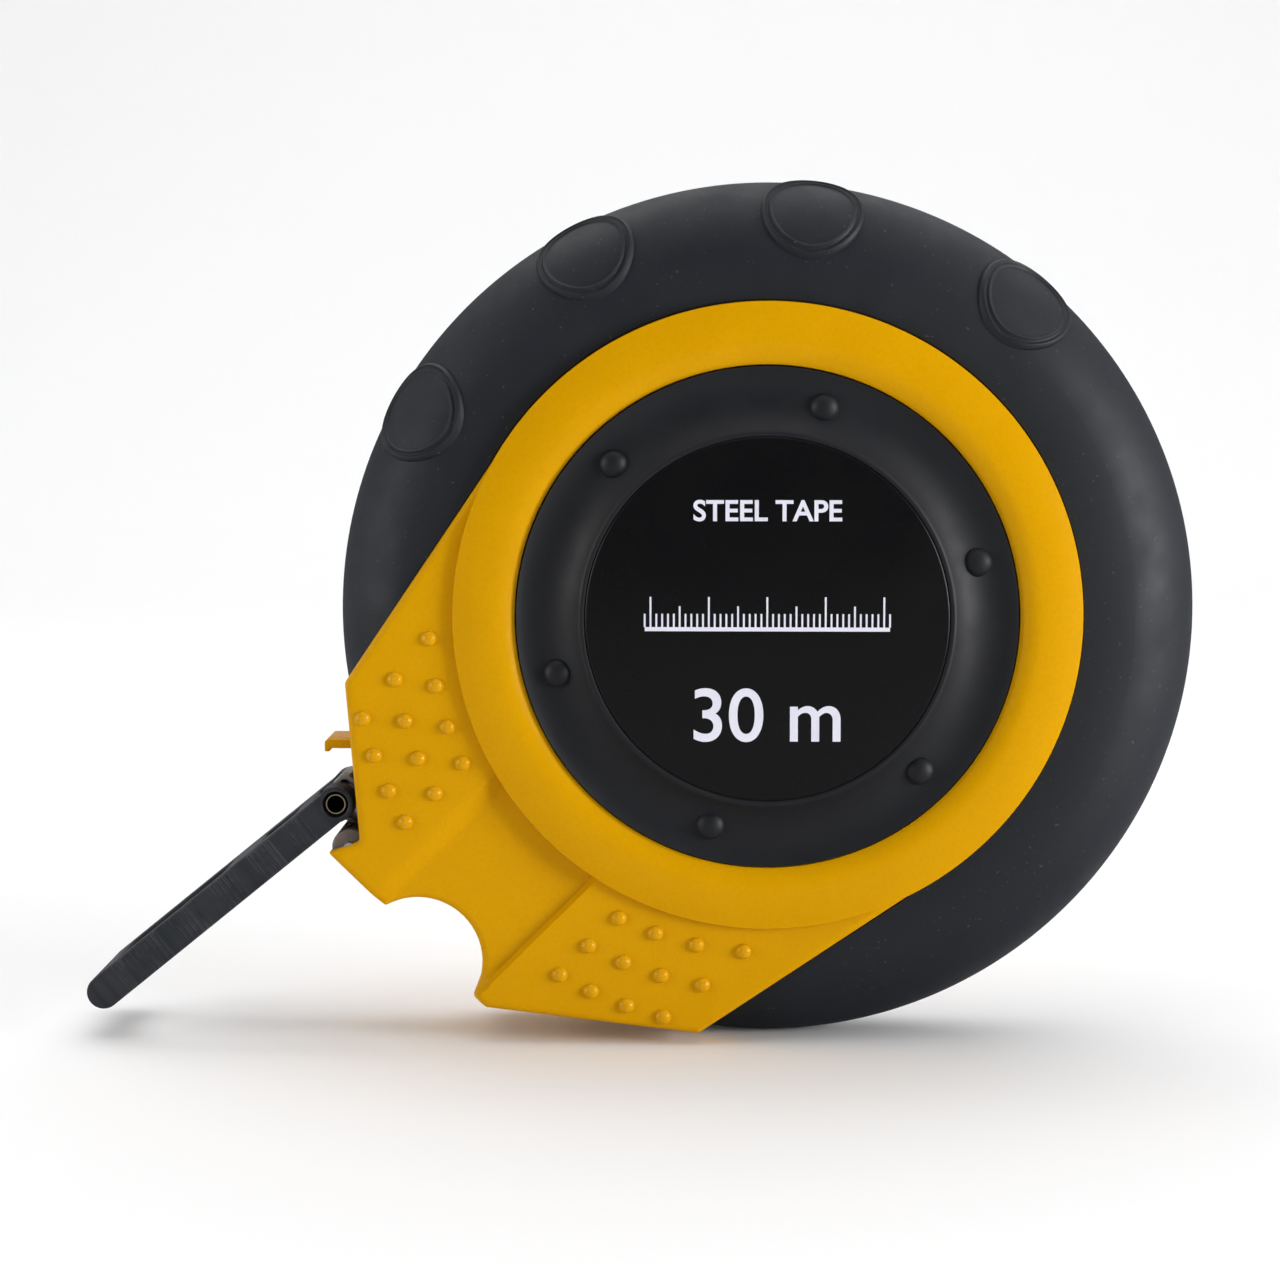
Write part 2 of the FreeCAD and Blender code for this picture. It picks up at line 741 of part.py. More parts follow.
def spindle_parts():
    """Spindle with its flange under the cover, thrust washer, end washer and screw."""
    wall_out = deep(FRONT, "shell_face_depth")
    flange = rod("SpindleFlange", "spindle_head_radius", deep(FRONT, "spindle_head_depth"), wall_out)
    shank = rod("SpindleShank", "spindle_radius", wall_out, deep(REAR, "spindle_end"))
    thread = rod("SpindleThread", "spindle_screw_radius",
                 deep(REAR, "spindle_end - spindle_screw_length"), deep(REAR, "spindle_end"))
    finish(cut("Spindle", joined("SpindleBlank", [flange, shank]), [thread]), "spindle")
    washer_near = f"{deep(FRONT, 'cavity_depth')} + thrust_gap"
    finish(sleeve("ThrustWasher", "thrust_washer_radius", "washer_bore", washer_near,
                  f"{washer_near} + thrust_washer_thick"), "thrust_washer")
    rear_end = deep(REAR, "spindle_end")
    finish(sleeve("EndWasher", "end_washer_radius", "spindle_screw_radius + fit / 2", rear_end,
                  f"{rear_end} + end_washer_thick"), "end_washer")
    head_near = f"{rear_end} + end_washer_thick"
    head = rod("SpindleScrewHead", "spindle_screw_head", head_near,
               f"{head_near} + spindle_screw_head_thick")
    shaft = rod("SpindleScrewShaft", "spindle_screw_radius",
                deep(REAR, "spindle_end - spindle_screw_length"), head_near)
    finish(joined("SpindleScrew", [head, shaft]), "spindle_screw")


# drum


def drum_parts():
    """Hub with its flanges, the wound tape and the bush that runs on the spindle."""
    flange_in = "tape_half_width + flange_gap"
    flange_out = "tape_half_width + flange_gap + flange_thick"
    body = new_body("drum_hub")
    turned(body, "HubProfile", [
        ("bush_outer", deep(FRONT, "hub_tube_front")),
        ("hub_tube_radius", deep(FRONT, "hub_tube_front")),
        ("hub_tube_radius", deep(FRONT, flange_in)),
        ("tape_inner", deep(FRONT, flange_in)),
        ("tape_inner", deep(REAR, flange_in)),
        ("tape_inner - hub_wall", deep(REAR, flange_in)),
        ("tape_inner - hub_wall", f"{deep(FRONT, flange_in)} + hub_web"),
        ("hub_tube_radius", f"{deep(FRONT, flange_in)} + hub_web"),
        ("hub_tube_radius", deep(REAR, "hub_tube_rear")),
        ("bush_outer", deep(REAR, "hub_tube_rear")),
    ])
    finish(body, "drum_hub")
    finish(sleeve("DrumBush", "bush_outer", "bush_bore", deep(FRONT, "hub_tube_front"),
                  deep(REAR, "hub_tube_rear")), "drum_bush")
    finish(sleeve("FrontFlange", "flange_radius", "hub_tube_radius", deep(FRONT, flange_out),
                  deep(FRONT, flange_in)), "front_flange")
    plate = sleeve("RearFlangePlate", "flange_radius", "tape_inner - hub_wall", deep(REAR, flange_in),
                   deep(REAR, flange_out))
    holes = [rod(f"FlangeHole{i}", "disc_screw_radius", deep(REAR, flange_in), deep(REAR, flange_out),
                 *disc_screw_axis(i)) for i in range(3)]
    finish(cut("RearFlange", plate, holes), "rear_flange")
    finish(sleeve("TapeCoil", "tape_outer", "tape_inner", deep(FRONT, "tape_half_width"),
                  deep(REAR, "tape_half_width")), "tape_coil")


def disc_screw_axis(index):
    angle = math.radians(number(f"disc_screw_first + disc_screw_step * {index}"))
    return f"disc_screw_circle * {math.cos(angle)}", f"disc_screw_circle * {math.sin(angle)}"


def crank_disc():
    """Winding disc on the rear: plate, skirt into the hub, bosses, hinge lugs, arm tray and knob well."""
    back = deep(REAR, "disc_face - disc_thick")
    face = deep(REAR, "disc_face")
    flange_out = deep(REAR, "tape_half_width + flange_gap + flange_thick")
    plate = rod("DiscPlate", "disc_radius", back, face)
    skirt_outer = "tape_inner - hub_wall - skirt_gap"
    skirt = sleeve("DiscSkirt", skirt_outer, f"{skirt_outer} - skirt_thick", deep(REAR, "skirt_end"),
                   f"{back} + weld")
    solids = [plate, skirt]
    half_slot = "crank_width / 2 + crank_slot_gap"
    slot_far = deep(REAR, "crank_hinge_depth + lug_radius + overcut")
    slot_low = "crank_hinge_height - crank_length - crank_end_radius - crank_slot_gap"
    slot_high = "crank_hinge_height + crank_barrel + crank_barrel_gap"
    slot = block("ArmSlot",
                 (f"0 - ( {half_slot} )", deep(REAR, "disc_face - crank_slot_depth"), slot_low),
                 (half_slot, slot_far, slot_high))
    solids.append(block("ArmTray",
                        (f"0 - ( {half_slot} ) - tray_wall", deep(REAR, "tray_depth"),
                         f"{slot_low} - tray_wall"),
                        (f"{half_slot} + tray_wall", f"{back} + weld", f"{slot_high} + tray_wall")))
    knob_up = "crank_hinge_height - crank_length"
    well_end = "crank_hinge_depth - crank_far - knob_gap - knob_length - well_gap"
    solids.append(rod("KnobWell", "crank_recess_radius + tray_wall", deep(REAR, f"{well_end} - well_floor"),
                      f"{back} + weld", "0", knob_up))
    relief = rod("WellRelief", "well_relief", deep(REAR, f"{well_end} - well_floor - overcut"),
                 deep(REAR, "tray_depth"))
    recess = rod("ArmRecess", "crank_recess_radius", deep(REAR, well_end),
                 deep(REAR, "disc_face + overcut"), "0", knob_up)
    screw_hole = rod("TrayHole", "tray_hole", deep(REAR, "tray_depth - overcut"),
                     deep(REAR, "disc_face + overcut"))
    tools = [slot, relief, recess, screw_hole]
    for index in range(3):
        axis = disc_screw_axis(index)
        solids.append(rod(f"DiscBoss{index}", "disc_boss_radius", flange_out, f"{back} + weld", *axis))
        tools.append(rod(f"DiscHole{index}", "disc_screw_radius + fit", flange_out, face, *axis))
        tools.append(rod(f"DiscSeat{index}", "disc_screw_head + fit",
                         f"{face} - disc_screw_head_thick - disc_screw_sink", face, *axis))
    pin_depth = deep(REAR, "crank_hinge_depth")
    lug_reach = f"2 * ( {half_slot} + lug_thick )"
    lugs = cross_rod("LugRound", "lug_radius", lug_reach, pin_depth, "crank_hinge_height")
    foot = block("LugFoot",
                 (f"0 - ( {half_slot} ) - lug_thick", f"{face} - weld", "crank_hinge_height - lug_radius"),
                 (f"( {half_slot} ) + lug_thick", pin_depth, "crank_hinge_height + lug_radius"))
    solids += [lugs, foot]
    tools.append(cross_rod("LugHole", "hinge_pin_radius", lug_reach, pin_depth, "crank_hinge_height"))
    finish(cut("CrankDisc", joined("DiscBlank", solids), tools), "crank_disc")
    finish(cross_rod("CrankHingePin", "hinge_pin_radius", lug_reach, pin_depth, "crank_hinge_height"),
           "crank_hinge_pin")
    screws = []
    for index in range(3):
        axis = disc_screw_axis(index)
        flange_in = deep(REAR, "tape_half_width + flange_gap")
        head_near = f"{face} - disc_screw_head_thick - disc_screw_sink"
        shank = rod(f"DiscScrewShank{index}", "disc_screw_radius", flange_in, head_near, *axis)
        head = rod(f"DiscScrewHead{index}", "disc_screw_head", head_near,
                   f"{head_near} + disc_screw_head_thick", *axis)
        screws.append(joined(f"DiscScrew{index}", [shank, head]))
    group = doc.addObject("Part::Compound", "DrumScrews")
    group.Links = screws
    finish(group, "drum_screws")


def crank_parts():
    """Folding arm, stowed across the disc, with the knob on a rivet pointing into the hub."""
    near_face = deep(REAR, "crank_hinge_depth - crank_far")
    far_face = deep(REAR, "crank_hinge_depth - crank_near")
    pin_depth = deep(REAR, "crank_hinge_depth")
    knob_up = "crank_hinge_height - crank_length"
    strip = block("ArmStrip", ("0 - crank_width / 2", near_face, knob_up),
                  ("crank_width / 2", far_face, "crank_hinge_height"))
    end = rod("ArmEnd", "crank_end_radius", near_face, far_face, "0", knob_up)
    barrel = cross_rod("ArmBarrel", "crank_barrel", "crank_width", pin_depth, "crank_hinge_height")
    tools = [
        cross_rod("ArmBore", "hinge_pin_radius + hinge_pin_gap", "crank_width + overcut", pin_depth,
                  "crank_hinge_height"),
        rod("ArmRivetHole", "knob_pin_radius", near_face, far_face, "0", knob_up),
    ]
    finish(cut("CrankArm", joined("ArmBlank", [strip, end, barrel]), tools), "crank_arm")
    knob_rear = f"{near_face} - knob_gap"
    knob_front = f"{near_face} - knob_gap - knob_length"
    body = new_body("knob")
    turned(body, "KnobProfile", [
        ("knob_bore", knob_rear),
        ("knob_bore", f"{knob_front} + knob_counterbore_depth"),
        ("knob_counterbore", f"{knob_front} + knob_counterbore_depth"),
        ("knob_counterbore", knob_front),
        ("knob_radius - knob_tip_edge", knob_front),
        ("knob_radius", f"{knob_front} + knob_tip_edge"),
        ("knob_radius", f"{knob_front} + knob_belly"),
        ("knob_waist", f"{knob_front} + knob_length * knob_waist_place"),
        ("knob_radius", f"{knob_rear} - knob_collar"),
        ("knob_radius - knob_edge", knob_rear),
    ])
    bind(body, "Placement.Base.z", knob_up)
    finish(body, "knob")
    head_near = f"{knob_front} + knob_counterbore_depth - knob_pin_head_thick - fit"
    head_far = f"{knob_front} + knob_counterbore_depth - fit"
    head = rod("KnobPinHead", "knob_pin_head", head_near, head_far, "0", knob_up)
    shank = rod("KnobPinShank", "knob_pin_radius", head_far, far_face, "0", knob_up)
    finish(joined("KnobPin", [head, shank]), "knob_pin")


# mouth


def mouth_parts():
    """Roller on the lower lip of the mouth, its pin, and the catch that holds the folded end ring."""
    across, up = nose_point("roller_out", "roller_side")
    finish(sleeve("MouthRoller", "roller_radius", "roller_bore", deep(FRONT, "roller_half_length"),
                  deep(REAR, "roller_half_length"), across, up), "mouth_roller")
    finish(rod("RollerPin", "roller_pin_radius", deep(FRONT, "roller_pin_depth"),
               deep(REAR, "roller_pin_depth"), across, up), "roller_pin")
    body = new_body("ring_catch")
    side_pad(body, "CatchShape", lambda s: outline(s, [
        ("catch_tip", "catch_top"),
        ("catch_key", "catch_top"),
        ("catch_key", "catch_key_top"),
        ("catch_root", "catch_key_top"),
        ("catch_root", "catch_under"),
        ("catch_lip_inner", "catch_under"),
        ("catch_lip_inner", "catch_lip"),
        ("catch_tip", "catch_lip"),
    ]), deep(FRONT, "catch_half_width"), deep(REAR, "catch_half_width"))
    finish(body, "ring_catch")


# tape lead and end ring


def tape_lead_parts():
    """Straight run of tape from the coil to the mouth, and the folded fitting on its end."""
    rise = math.radians(number("tape_rise"))
    along = FreeCAD.Vector(-math.cos(rise), 0, math.sin(rise))
    outward = FreeCAD.Vector(-math.sin(rise), 0, -math.cos(rise))
    turn = FreeCAD.Rotation(along, FreeCAD.Vector(0, 1, 0), outward, "XYZ")
    lead = doc.addObject("Part::Box", "TapeLead")
    bind(lead, "Length", "lead_tail + lead_end")
    bind(lead, "Width", "tape_half_width * 2")
    bind(lead, "Height", "tape_thick")
    start = outward * number("tape_outer") - along * number("lead_tail")
    start.y = number(deep(FRONT, "tape_half_width"))
    lead.Placement = FreeCAD.Placement(start, turn)
    finish(lead, "tape_lead")

    pivot = FreeCAD.Vector(-number("pivot_left"), number("mid_plane"), -number("pivot_down"))
    drop = ("pivot_left * sin( tape_rise * 1 deg ) + pivot_down * cos( tape_rise * 1 deg )"
            " - tape_outer - tape_thick")
    body = new_body("end_fitting")
    half = "fitting_half_width"
    side_pad(body, "FittingLeg", lambda s: outline(s, [
        ("0", "0 - fitting_radius"),
        ("fitting_leg", f"{drop} - fitting_leg_thick"),
        ("fitting_leg", drop),
        ("0", drop),
    ]), f"0 - {half}", half)
    side_pad(body, "FittingEye", lambda s: circle_at(s, "0", "0", drop), f"0 - {half}", half)
    cut_side(body, "FittingBore", lambda s: circle_at(s, "0", "0", "fitting_bore"), f"0 - {half}", half)
    body.Placement = FreeCAD.Placement(
        pivot, FreeCAD.Rotation(FreeCAD.Vector(0, 1, 0), number("tape_rise"))
    )
    lift = number(drop)
    holes = []
    rivets = []
    for index, sign in enumerate((-1, 1)):
        spot = pivot - along * number("fitting_rivet_back") - outward * lift
        spot.y += sign * number("fitting_rivet_side")
        for name, group, length in (
            ("Hole", holes, "fitting_leg_thick * 2"), ("Rivet", rivets, "fitting_rivet_length"),
        ):
            pin = doc.addObject("Part::Cylinder", f"Fitting{name}{index}")
            bind(pin, "Radius", "fitting_rivet_radius")
            bind(pin, "Height", length)
            pin.Placement = FreeCAD.Placement(
                spot, FreeCAD.Rotation(FreeCAD.Vector(0, 0, 1), outward)
            )
            group.append(pin)
    finish(cut("EndFitting", body, holes), "end_fitting")
    group = doc.addObject("Part::Compound", "FittingRivets")
    group.Links = rivets
    finish(group, "fitting_rivets")


def end_ring_parts():
    """Folding end ring, drawn in its own frame and swung to its resting angle, with its rivet."""
    swing = FreeCAD.Rotation(FreeCAD.Vector(0, 1, 0), -number("end_ring_angle"))
    place = FreeCAD.Placement(
        FreeCAD.Vector(-number("pivot_left"), number("mid_plane"), -number("pivot_down")), swing
    )
    body = new_body("end_ring")
    width = "end_ring_half_width"
    near_arm = f"0 - {width}"
    side_pad(body, "RingArm", lambda s: outline(s, [
        ("0", "0 - end_ring_half_thick"),
        ("end_ring_length", "0 - end_ring_half_thick"),
        ("end_ring_length", "end_ring_half_thick"),
        ("0", "end_ring_half_thick"),
    ]), near_arm, width)
    side_pad(body, "RingTip", lambda s: circle_at(s, "end_ring_length", "0", "end_ring_half_thick"),
             near_arm, width)
    side_pad(body, "RingBoss", lambda s: circle_at(s, "0", "0", "end_ring_boss"), near_arm, width)
    windows = [
        ("RingFork", "0 - end_ring_boss - overcut", "bar_one_start", "fork_half_gap"),
        ("RingCatchWindow", "bar_one_end", "bar_two_start", "fork_half_gap"),
        ("RingFingerWindow", "bar_two_end", "finger_window_end", "finger_half_gap"),
    ]
    for name, start, end, half in windows:
        before = body.Tip.Shape.Volume
        sketch = new_sketch(body, "XY_Plane", f"{name}Outline", "end_ring_boss + overcut")
        outline(sketch, [(start, f"0 - {half}"), (end, f"0 - {half}"), (end, half), (start, half)])
        pocket = body.newObject("PartDesign::Pocket", name)
        pocket.Profile = sketch
        bind(pocket, "Length", "2 * ( end_ring_boss + overcut )")
        doc.recompute()
        checked_cut(pocket, before)
    cut_side(body, "RingPivotHole", lambda s: circle_at(s, "0", "0", "rivet_radius"), near_arm, width)
    for name, near, far in (
        ("RingSeatNear", near_arm, f"{near_arm} + rivet_seat_depth"),
        ("RingSeatFar", f"{width} - rivet_seat_depth", width),
    ):
        cut_side(body, name, lambda s: circle_at(s, "0", "0", "rivet_seat_radius"), near, far)
    body.Placement = place
    finish(body, "end_ring")
    across = "0 - pivot_left"
    up = "0 - pivot_down"
    floor = f"{width} - rivet_seat_depth"
    top = f"{width} - rivet_seat_depth + rivet_flange_thick"
    rim = "rivet_seat_radius - fit / 2"
    tube = rod("RivetTube", "rivet_radius", deep(FRONT, top), deep(REAR, top), across, up)
    flanges = [
        rod("RivetFlangeNear", rim, deep(FRONT, top), deep(FRONT, floor), across, up),
        rod("RivetFlangeFar", rim, deep(REAR, floor), deep(REAR, top), across, up),
    ]
    bore = rod("RivetBore", "rivet_bore", deep(FRONT, top), deep(REAR, top), across, up)
    finish(cut("EndRivet", joined("RivetBlank", [tube] + flanges), [bore]), "end_rivet")


case_halves()
grip(FRONT, "front_grip")
grip(REAR, "rear_grip")
hub_cover()
spindle_parts()
drum_parts()
crank_disc()
crank_parts()
mouth_parts()
tape_lead_parts()
end_ring_parts()
doc.removeObject("Scratch")
doc.recompute()

for thing in doc.Objects:
    bad = [state for state in thing.State if state in ("Invalid", "Error")]
    if bad:
        raise RuntimeError(f"{thing.Name} is {bad}")
os.makedirs("parts", exist_ok=True)
for thing in nodes:
    shape = thing.Shape
    if shape.isNull() or not shape.isValid() or not shape.Solids:
        raise RuntimeError(f"{thing.Label} has no valid shape")
    shape.exportStep(f"parts/{thing.Label}.step")
    print(f"{thing.Label}: {len(shape.Solids)} solid(s), {shape.Volume / 1000:.2f} cm3")
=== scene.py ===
"""Looks for the closed-case surveyor tape reel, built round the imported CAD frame."""
import json
import math

import bmesh
import bpy
import numpy as np
from mathutils import Matrix, Vector
from mathutils.geometry import delaunay_2d_cdt


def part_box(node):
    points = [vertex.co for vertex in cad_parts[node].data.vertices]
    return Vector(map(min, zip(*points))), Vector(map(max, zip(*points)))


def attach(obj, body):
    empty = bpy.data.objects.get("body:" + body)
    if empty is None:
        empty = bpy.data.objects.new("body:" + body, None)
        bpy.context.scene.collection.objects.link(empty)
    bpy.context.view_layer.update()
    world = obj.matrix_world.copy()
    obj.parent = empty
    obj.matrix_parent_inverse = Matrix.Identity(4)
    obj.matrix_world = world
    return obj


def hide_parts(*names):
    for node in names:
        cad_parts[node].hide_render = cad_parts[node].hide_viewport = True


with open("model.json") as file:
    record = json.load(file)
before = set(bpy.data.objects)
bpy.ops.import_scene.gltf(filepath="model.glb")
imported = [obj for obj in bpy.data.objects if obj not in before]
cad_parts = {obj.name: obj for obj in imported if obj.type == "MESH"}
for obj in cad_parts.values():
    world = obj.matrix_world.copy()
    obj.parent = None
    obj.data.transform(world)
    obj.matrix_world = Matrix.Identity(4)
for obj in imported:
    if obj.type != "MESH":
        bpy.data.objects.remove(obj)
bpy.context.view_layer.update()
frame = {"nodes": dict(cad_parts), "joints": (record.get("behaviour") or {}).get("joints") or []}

MM = 0.001
FRONT = -1
REAR = 1
WELD = 1e-7

# ---------------------------------------------------------------- places taken from the frame


def node_box(node):
    """Corners of a CAD node in millimetres."""
    low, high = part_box(node)
    return low / MM, high / MM


def joint(name):
    return next(j for j in frame["joints"] if j["name"] == name)


MID = node_box("front_shell")[1].y
CASE_R = node_box("front_grip")[1].x
LABEL_R = node_box("label_disc")[1].x
COVER_R = node_box("hub_cover")[1].x
DISC_R = node_box("crank_disc")[1].x
PIVOT = Vector(joint("end_ring_fold")["pos_m"]) / MM
HINGE = Vector(joint("crank_fold")["pos_m"]) / MM
KNOB_AXIS = Vector(joint("knob_spin")["pos_m"]) / MM
ROLLER = Vector(joint("roller_spin")["pos_m"]) / MM
ALONG = Vector(joint("tape_run")["axis"])
TAPE_HALF = (node_box("tape_lead")[1].y - node_box("tape_lead")[0].y) / 2
RING_HALF = (node_box("end_ring")[1].y - node_box("end_ring")[0].y) / 2

RING_OUT = 54.4
RING_IN = 43.5
RING_EDGE = {FRONT: 17.6, REAR: 16.6}
RING_RISE = {FRONT: 1.0, REAR: 0.9}
CROWN_SHIFT = 0.3
NOSE_DEPTH = 16.0
CAVITY_DEPTH = 14.1
NOSE_TURN = math.radians(225)
END_RING_TURN = math.radians(219.1)


def face_y(side, depth):
    """Y of a depth from the mid-plane on one side."""
    return MID + side * depth


def nose_xz(out, across):
    """X and Z from a distance along the nose's axis and one across it, towards the mouth."""
    c, s = math.cos(NOSE_TURN), math.sin(NOSE_TURN)
    return out * c + across * s, out * s - across * c


# ---------------------------------------------------------------- mesh helpers


def new_object(name, verts, faces, smooth_angle=35.0):
    """Mesh object from points in millimetres, with outward normals and edges sharp past an angle."""
    mesh = bpy.data.meshes.new(name)
    mesh.from_pydata([tuple(c * MM for c in v) for v in verts], [], faces)
    bm = bmesh.new()
    bm.from_mesh(mesh)
    bmesh.ops.remove_doubles(bm, verts=bm.verts, dist=WELD)
    bmesh.ops.recalc_face_normals(bm, faces=bm.faces)
    bm.to_mesh(mesh)
    bm.free()
    thing = bpy.data.objects.new(name, mesh)
    bpy.context.scene.collection.objects.link(thing)
    shade(thing, smooth_angle)
    return thing


def shade(thing, angle):
    """Smooth shading with edges sharper than the angle kept crisp."""
    mesh = thing.data
    for polygon in mesh.polygons:
        polygon.use_smooth = True
    mesh.set_sharp_from_angle(angle=math.radians(angle))


def weld(mesh):
    """Close hairline gaps and drop faces without area."""
    bm = bmesh.new()
    bm.from_mesh(mesh)
    bmesh.ops.remove_doubles(bm, verts=bm.verts, dist=WELD)
    bmesh.ops.dissolve_degenerate(bm, edges=bm.edges, dist=WELD)
    bm.to_mesh(mesh)
    bm.free()


def apply_modifiers(thing):
    """Turn the modifier result into the mesh itself."""
    graph = bpy.context.evaluated_depsgraph_get()
    graph.update()
    mesh = bpy.data.meshes.new_from_object(thing.evaluated_get(graph))
    weld(mesh)
    thing.modifiers.clear()
    old = thing.data
    thing.data = mesh
    bpy.data.meshes.remove(old)


def combine(base, tool, operation, keep_tool=False, solver="EXACT"):
    """Boolean of two closed meshes; the tool is deleted unless kept."""
    modifier = base.modifiers.new("join", "BOOLEAN")
    modifier.operation = operation
    modifier.object = tool
    modifier.solver = solver
    apply_modifiers(base)
    if not keep_tool:
        mesh = tool.data
        bpy.data.objects.remove(tool)
        bpy.data.meshes.remove(mesh)
    return base


def bevel(thing, width, segments=2, angle=30.0):
    """Rounded edges."""
    modifier = thing.modifiers.new("round", "BEVEL")
    modifier.width = width * MM
    modifier.segments = segments
    modifier.limit_method = "ANGLE"
    modifier.angle_limit = math.radians(angle)
    modifier.harden_normals = False
    apply_modifiers(thing)
    return thing


def merge(name, things, smooth_angle=35.0):
    """One object from several closed meshes."""
    bm = bmesh.new()
    for thing in things:
        thing.data.transform(thing.matrix_world)
        bm.from_mesh(thing.data)
        mesh = thing.data
        bpy.data.objects.remove(thing)
        bpy.data.meshes.remove(mesh)
    mesh = bpy.data.meshes.new(name)
    bm.to_mesh(mesh)
    bm.free()
    thing = bpy.data.objects.new(name, mesh)
    bpy.context.scene.collection.objects.link(thing)
    shade(thing, smooth_angle)
    return thing


def arc(centre, radius, start, end, steps):
    """Points on an arc, angles in degrees."""
    turns = np.radians(np.linspace(start, end, steps))
    return [(centre[0] + radius * math.cos(t), centre[1] + radius * math.sin(t)) for t in turns]


def rounded(points, radius, steps=4):
    """Closed outline with every corner rounded; radius may be one number or one for each corner."""
    result = []
    count = len(points)
    for i, point in enumerate(points):
        r = radius[i] if isinstance(radius, (list, tuple)) else radius
        here = Vector(point)
        before = Vector(points[i - 1]) - here
        after = Vector(points[(i + 1) % count]) - here
        half = before.angle(after) / 2
        if r <= 0 or half > math.radians(88):
            result.append(tuple(here))
            continue
        reach = min(r / math.tan(half), before.length * 0.49, after.length * 0.49)
        a = here + before.normalized() * reach
        b = here + after.normalized() * reach
        for k in range(steps + 1):
            t = k / steps
            result.append(tuple(a * (1 - t) ** 2 + here * (2 * t * (1 - t)) + b * t**2))
    return result


def lathe(name, profile, segments=192, centre=(0, 0), smooth_angle=35.0):
    """Ring or disc turned about a line along Y. The profile is a closed loop of (radius, Y)."""
    verts, faces, rows = [], [], []
    for radius, y in profile:
        if radius < 1e-6:
            rows.append([len(verts)] * segments)
            verts.append((centre[0], y, centre[1]))
            continue
        row = []
        for k in range(segments):
            t = 2 * math.pi * k / segments
            row.append(len(verts))
            verts.append((centre[0] + radius * math.cos(t), y, centre[1] + radius * math.sin(t)))
        rows.append(row)
    for i, row in enumerate(rows):
        following = rows[(i + 1) % len(rows)]
        if len(set(row)) == 1 and len(set(following)) == 1:
            continue
        for k in range(segments):
            n = (k + 1) % segments
            quad = [row[k], row[n], following[n], following[k]]
            face = list(dict.fromkeys(quad))
            if len(face) >= 3:
                faces.append(face)
    return new_object(name, verts, faces, smooth_angle)


def extrude_y(name, points, near, far, smooth_angle=35.0):
    """Solid from an outline of (X, Z), between two values of Y."""
    count = len(points)
    verts = [(x, near, z) for x, z in points] + [(x, far, z) for x, z in points]
    faces = [list(range(count)), list(range(2 * count - 1, count - 1, -1))]
    for i in range(count):
        n = (i + 1) % count
        faces.append([i, n, count + n, count + i])
    return new_object(name, verts, faces, smooth_angle)


def box_solid(name, low, high):
    points = [(low[0], low[2]), (high[0], low[2]), (high[0], high[2]), (low[0], high[2])]
    return extrude_y(name, points, low[1], high[1])


def placed(thing, matrix):
    """Move a mesh by a matrix given in millimetres."""
    scaled = matrix.copy()
    scaled.translation = matrix.translation * MM
    thing.data.transform(scaled)
    thing.data.update()
    return thing


# ---------------------------------------------------------------- materials


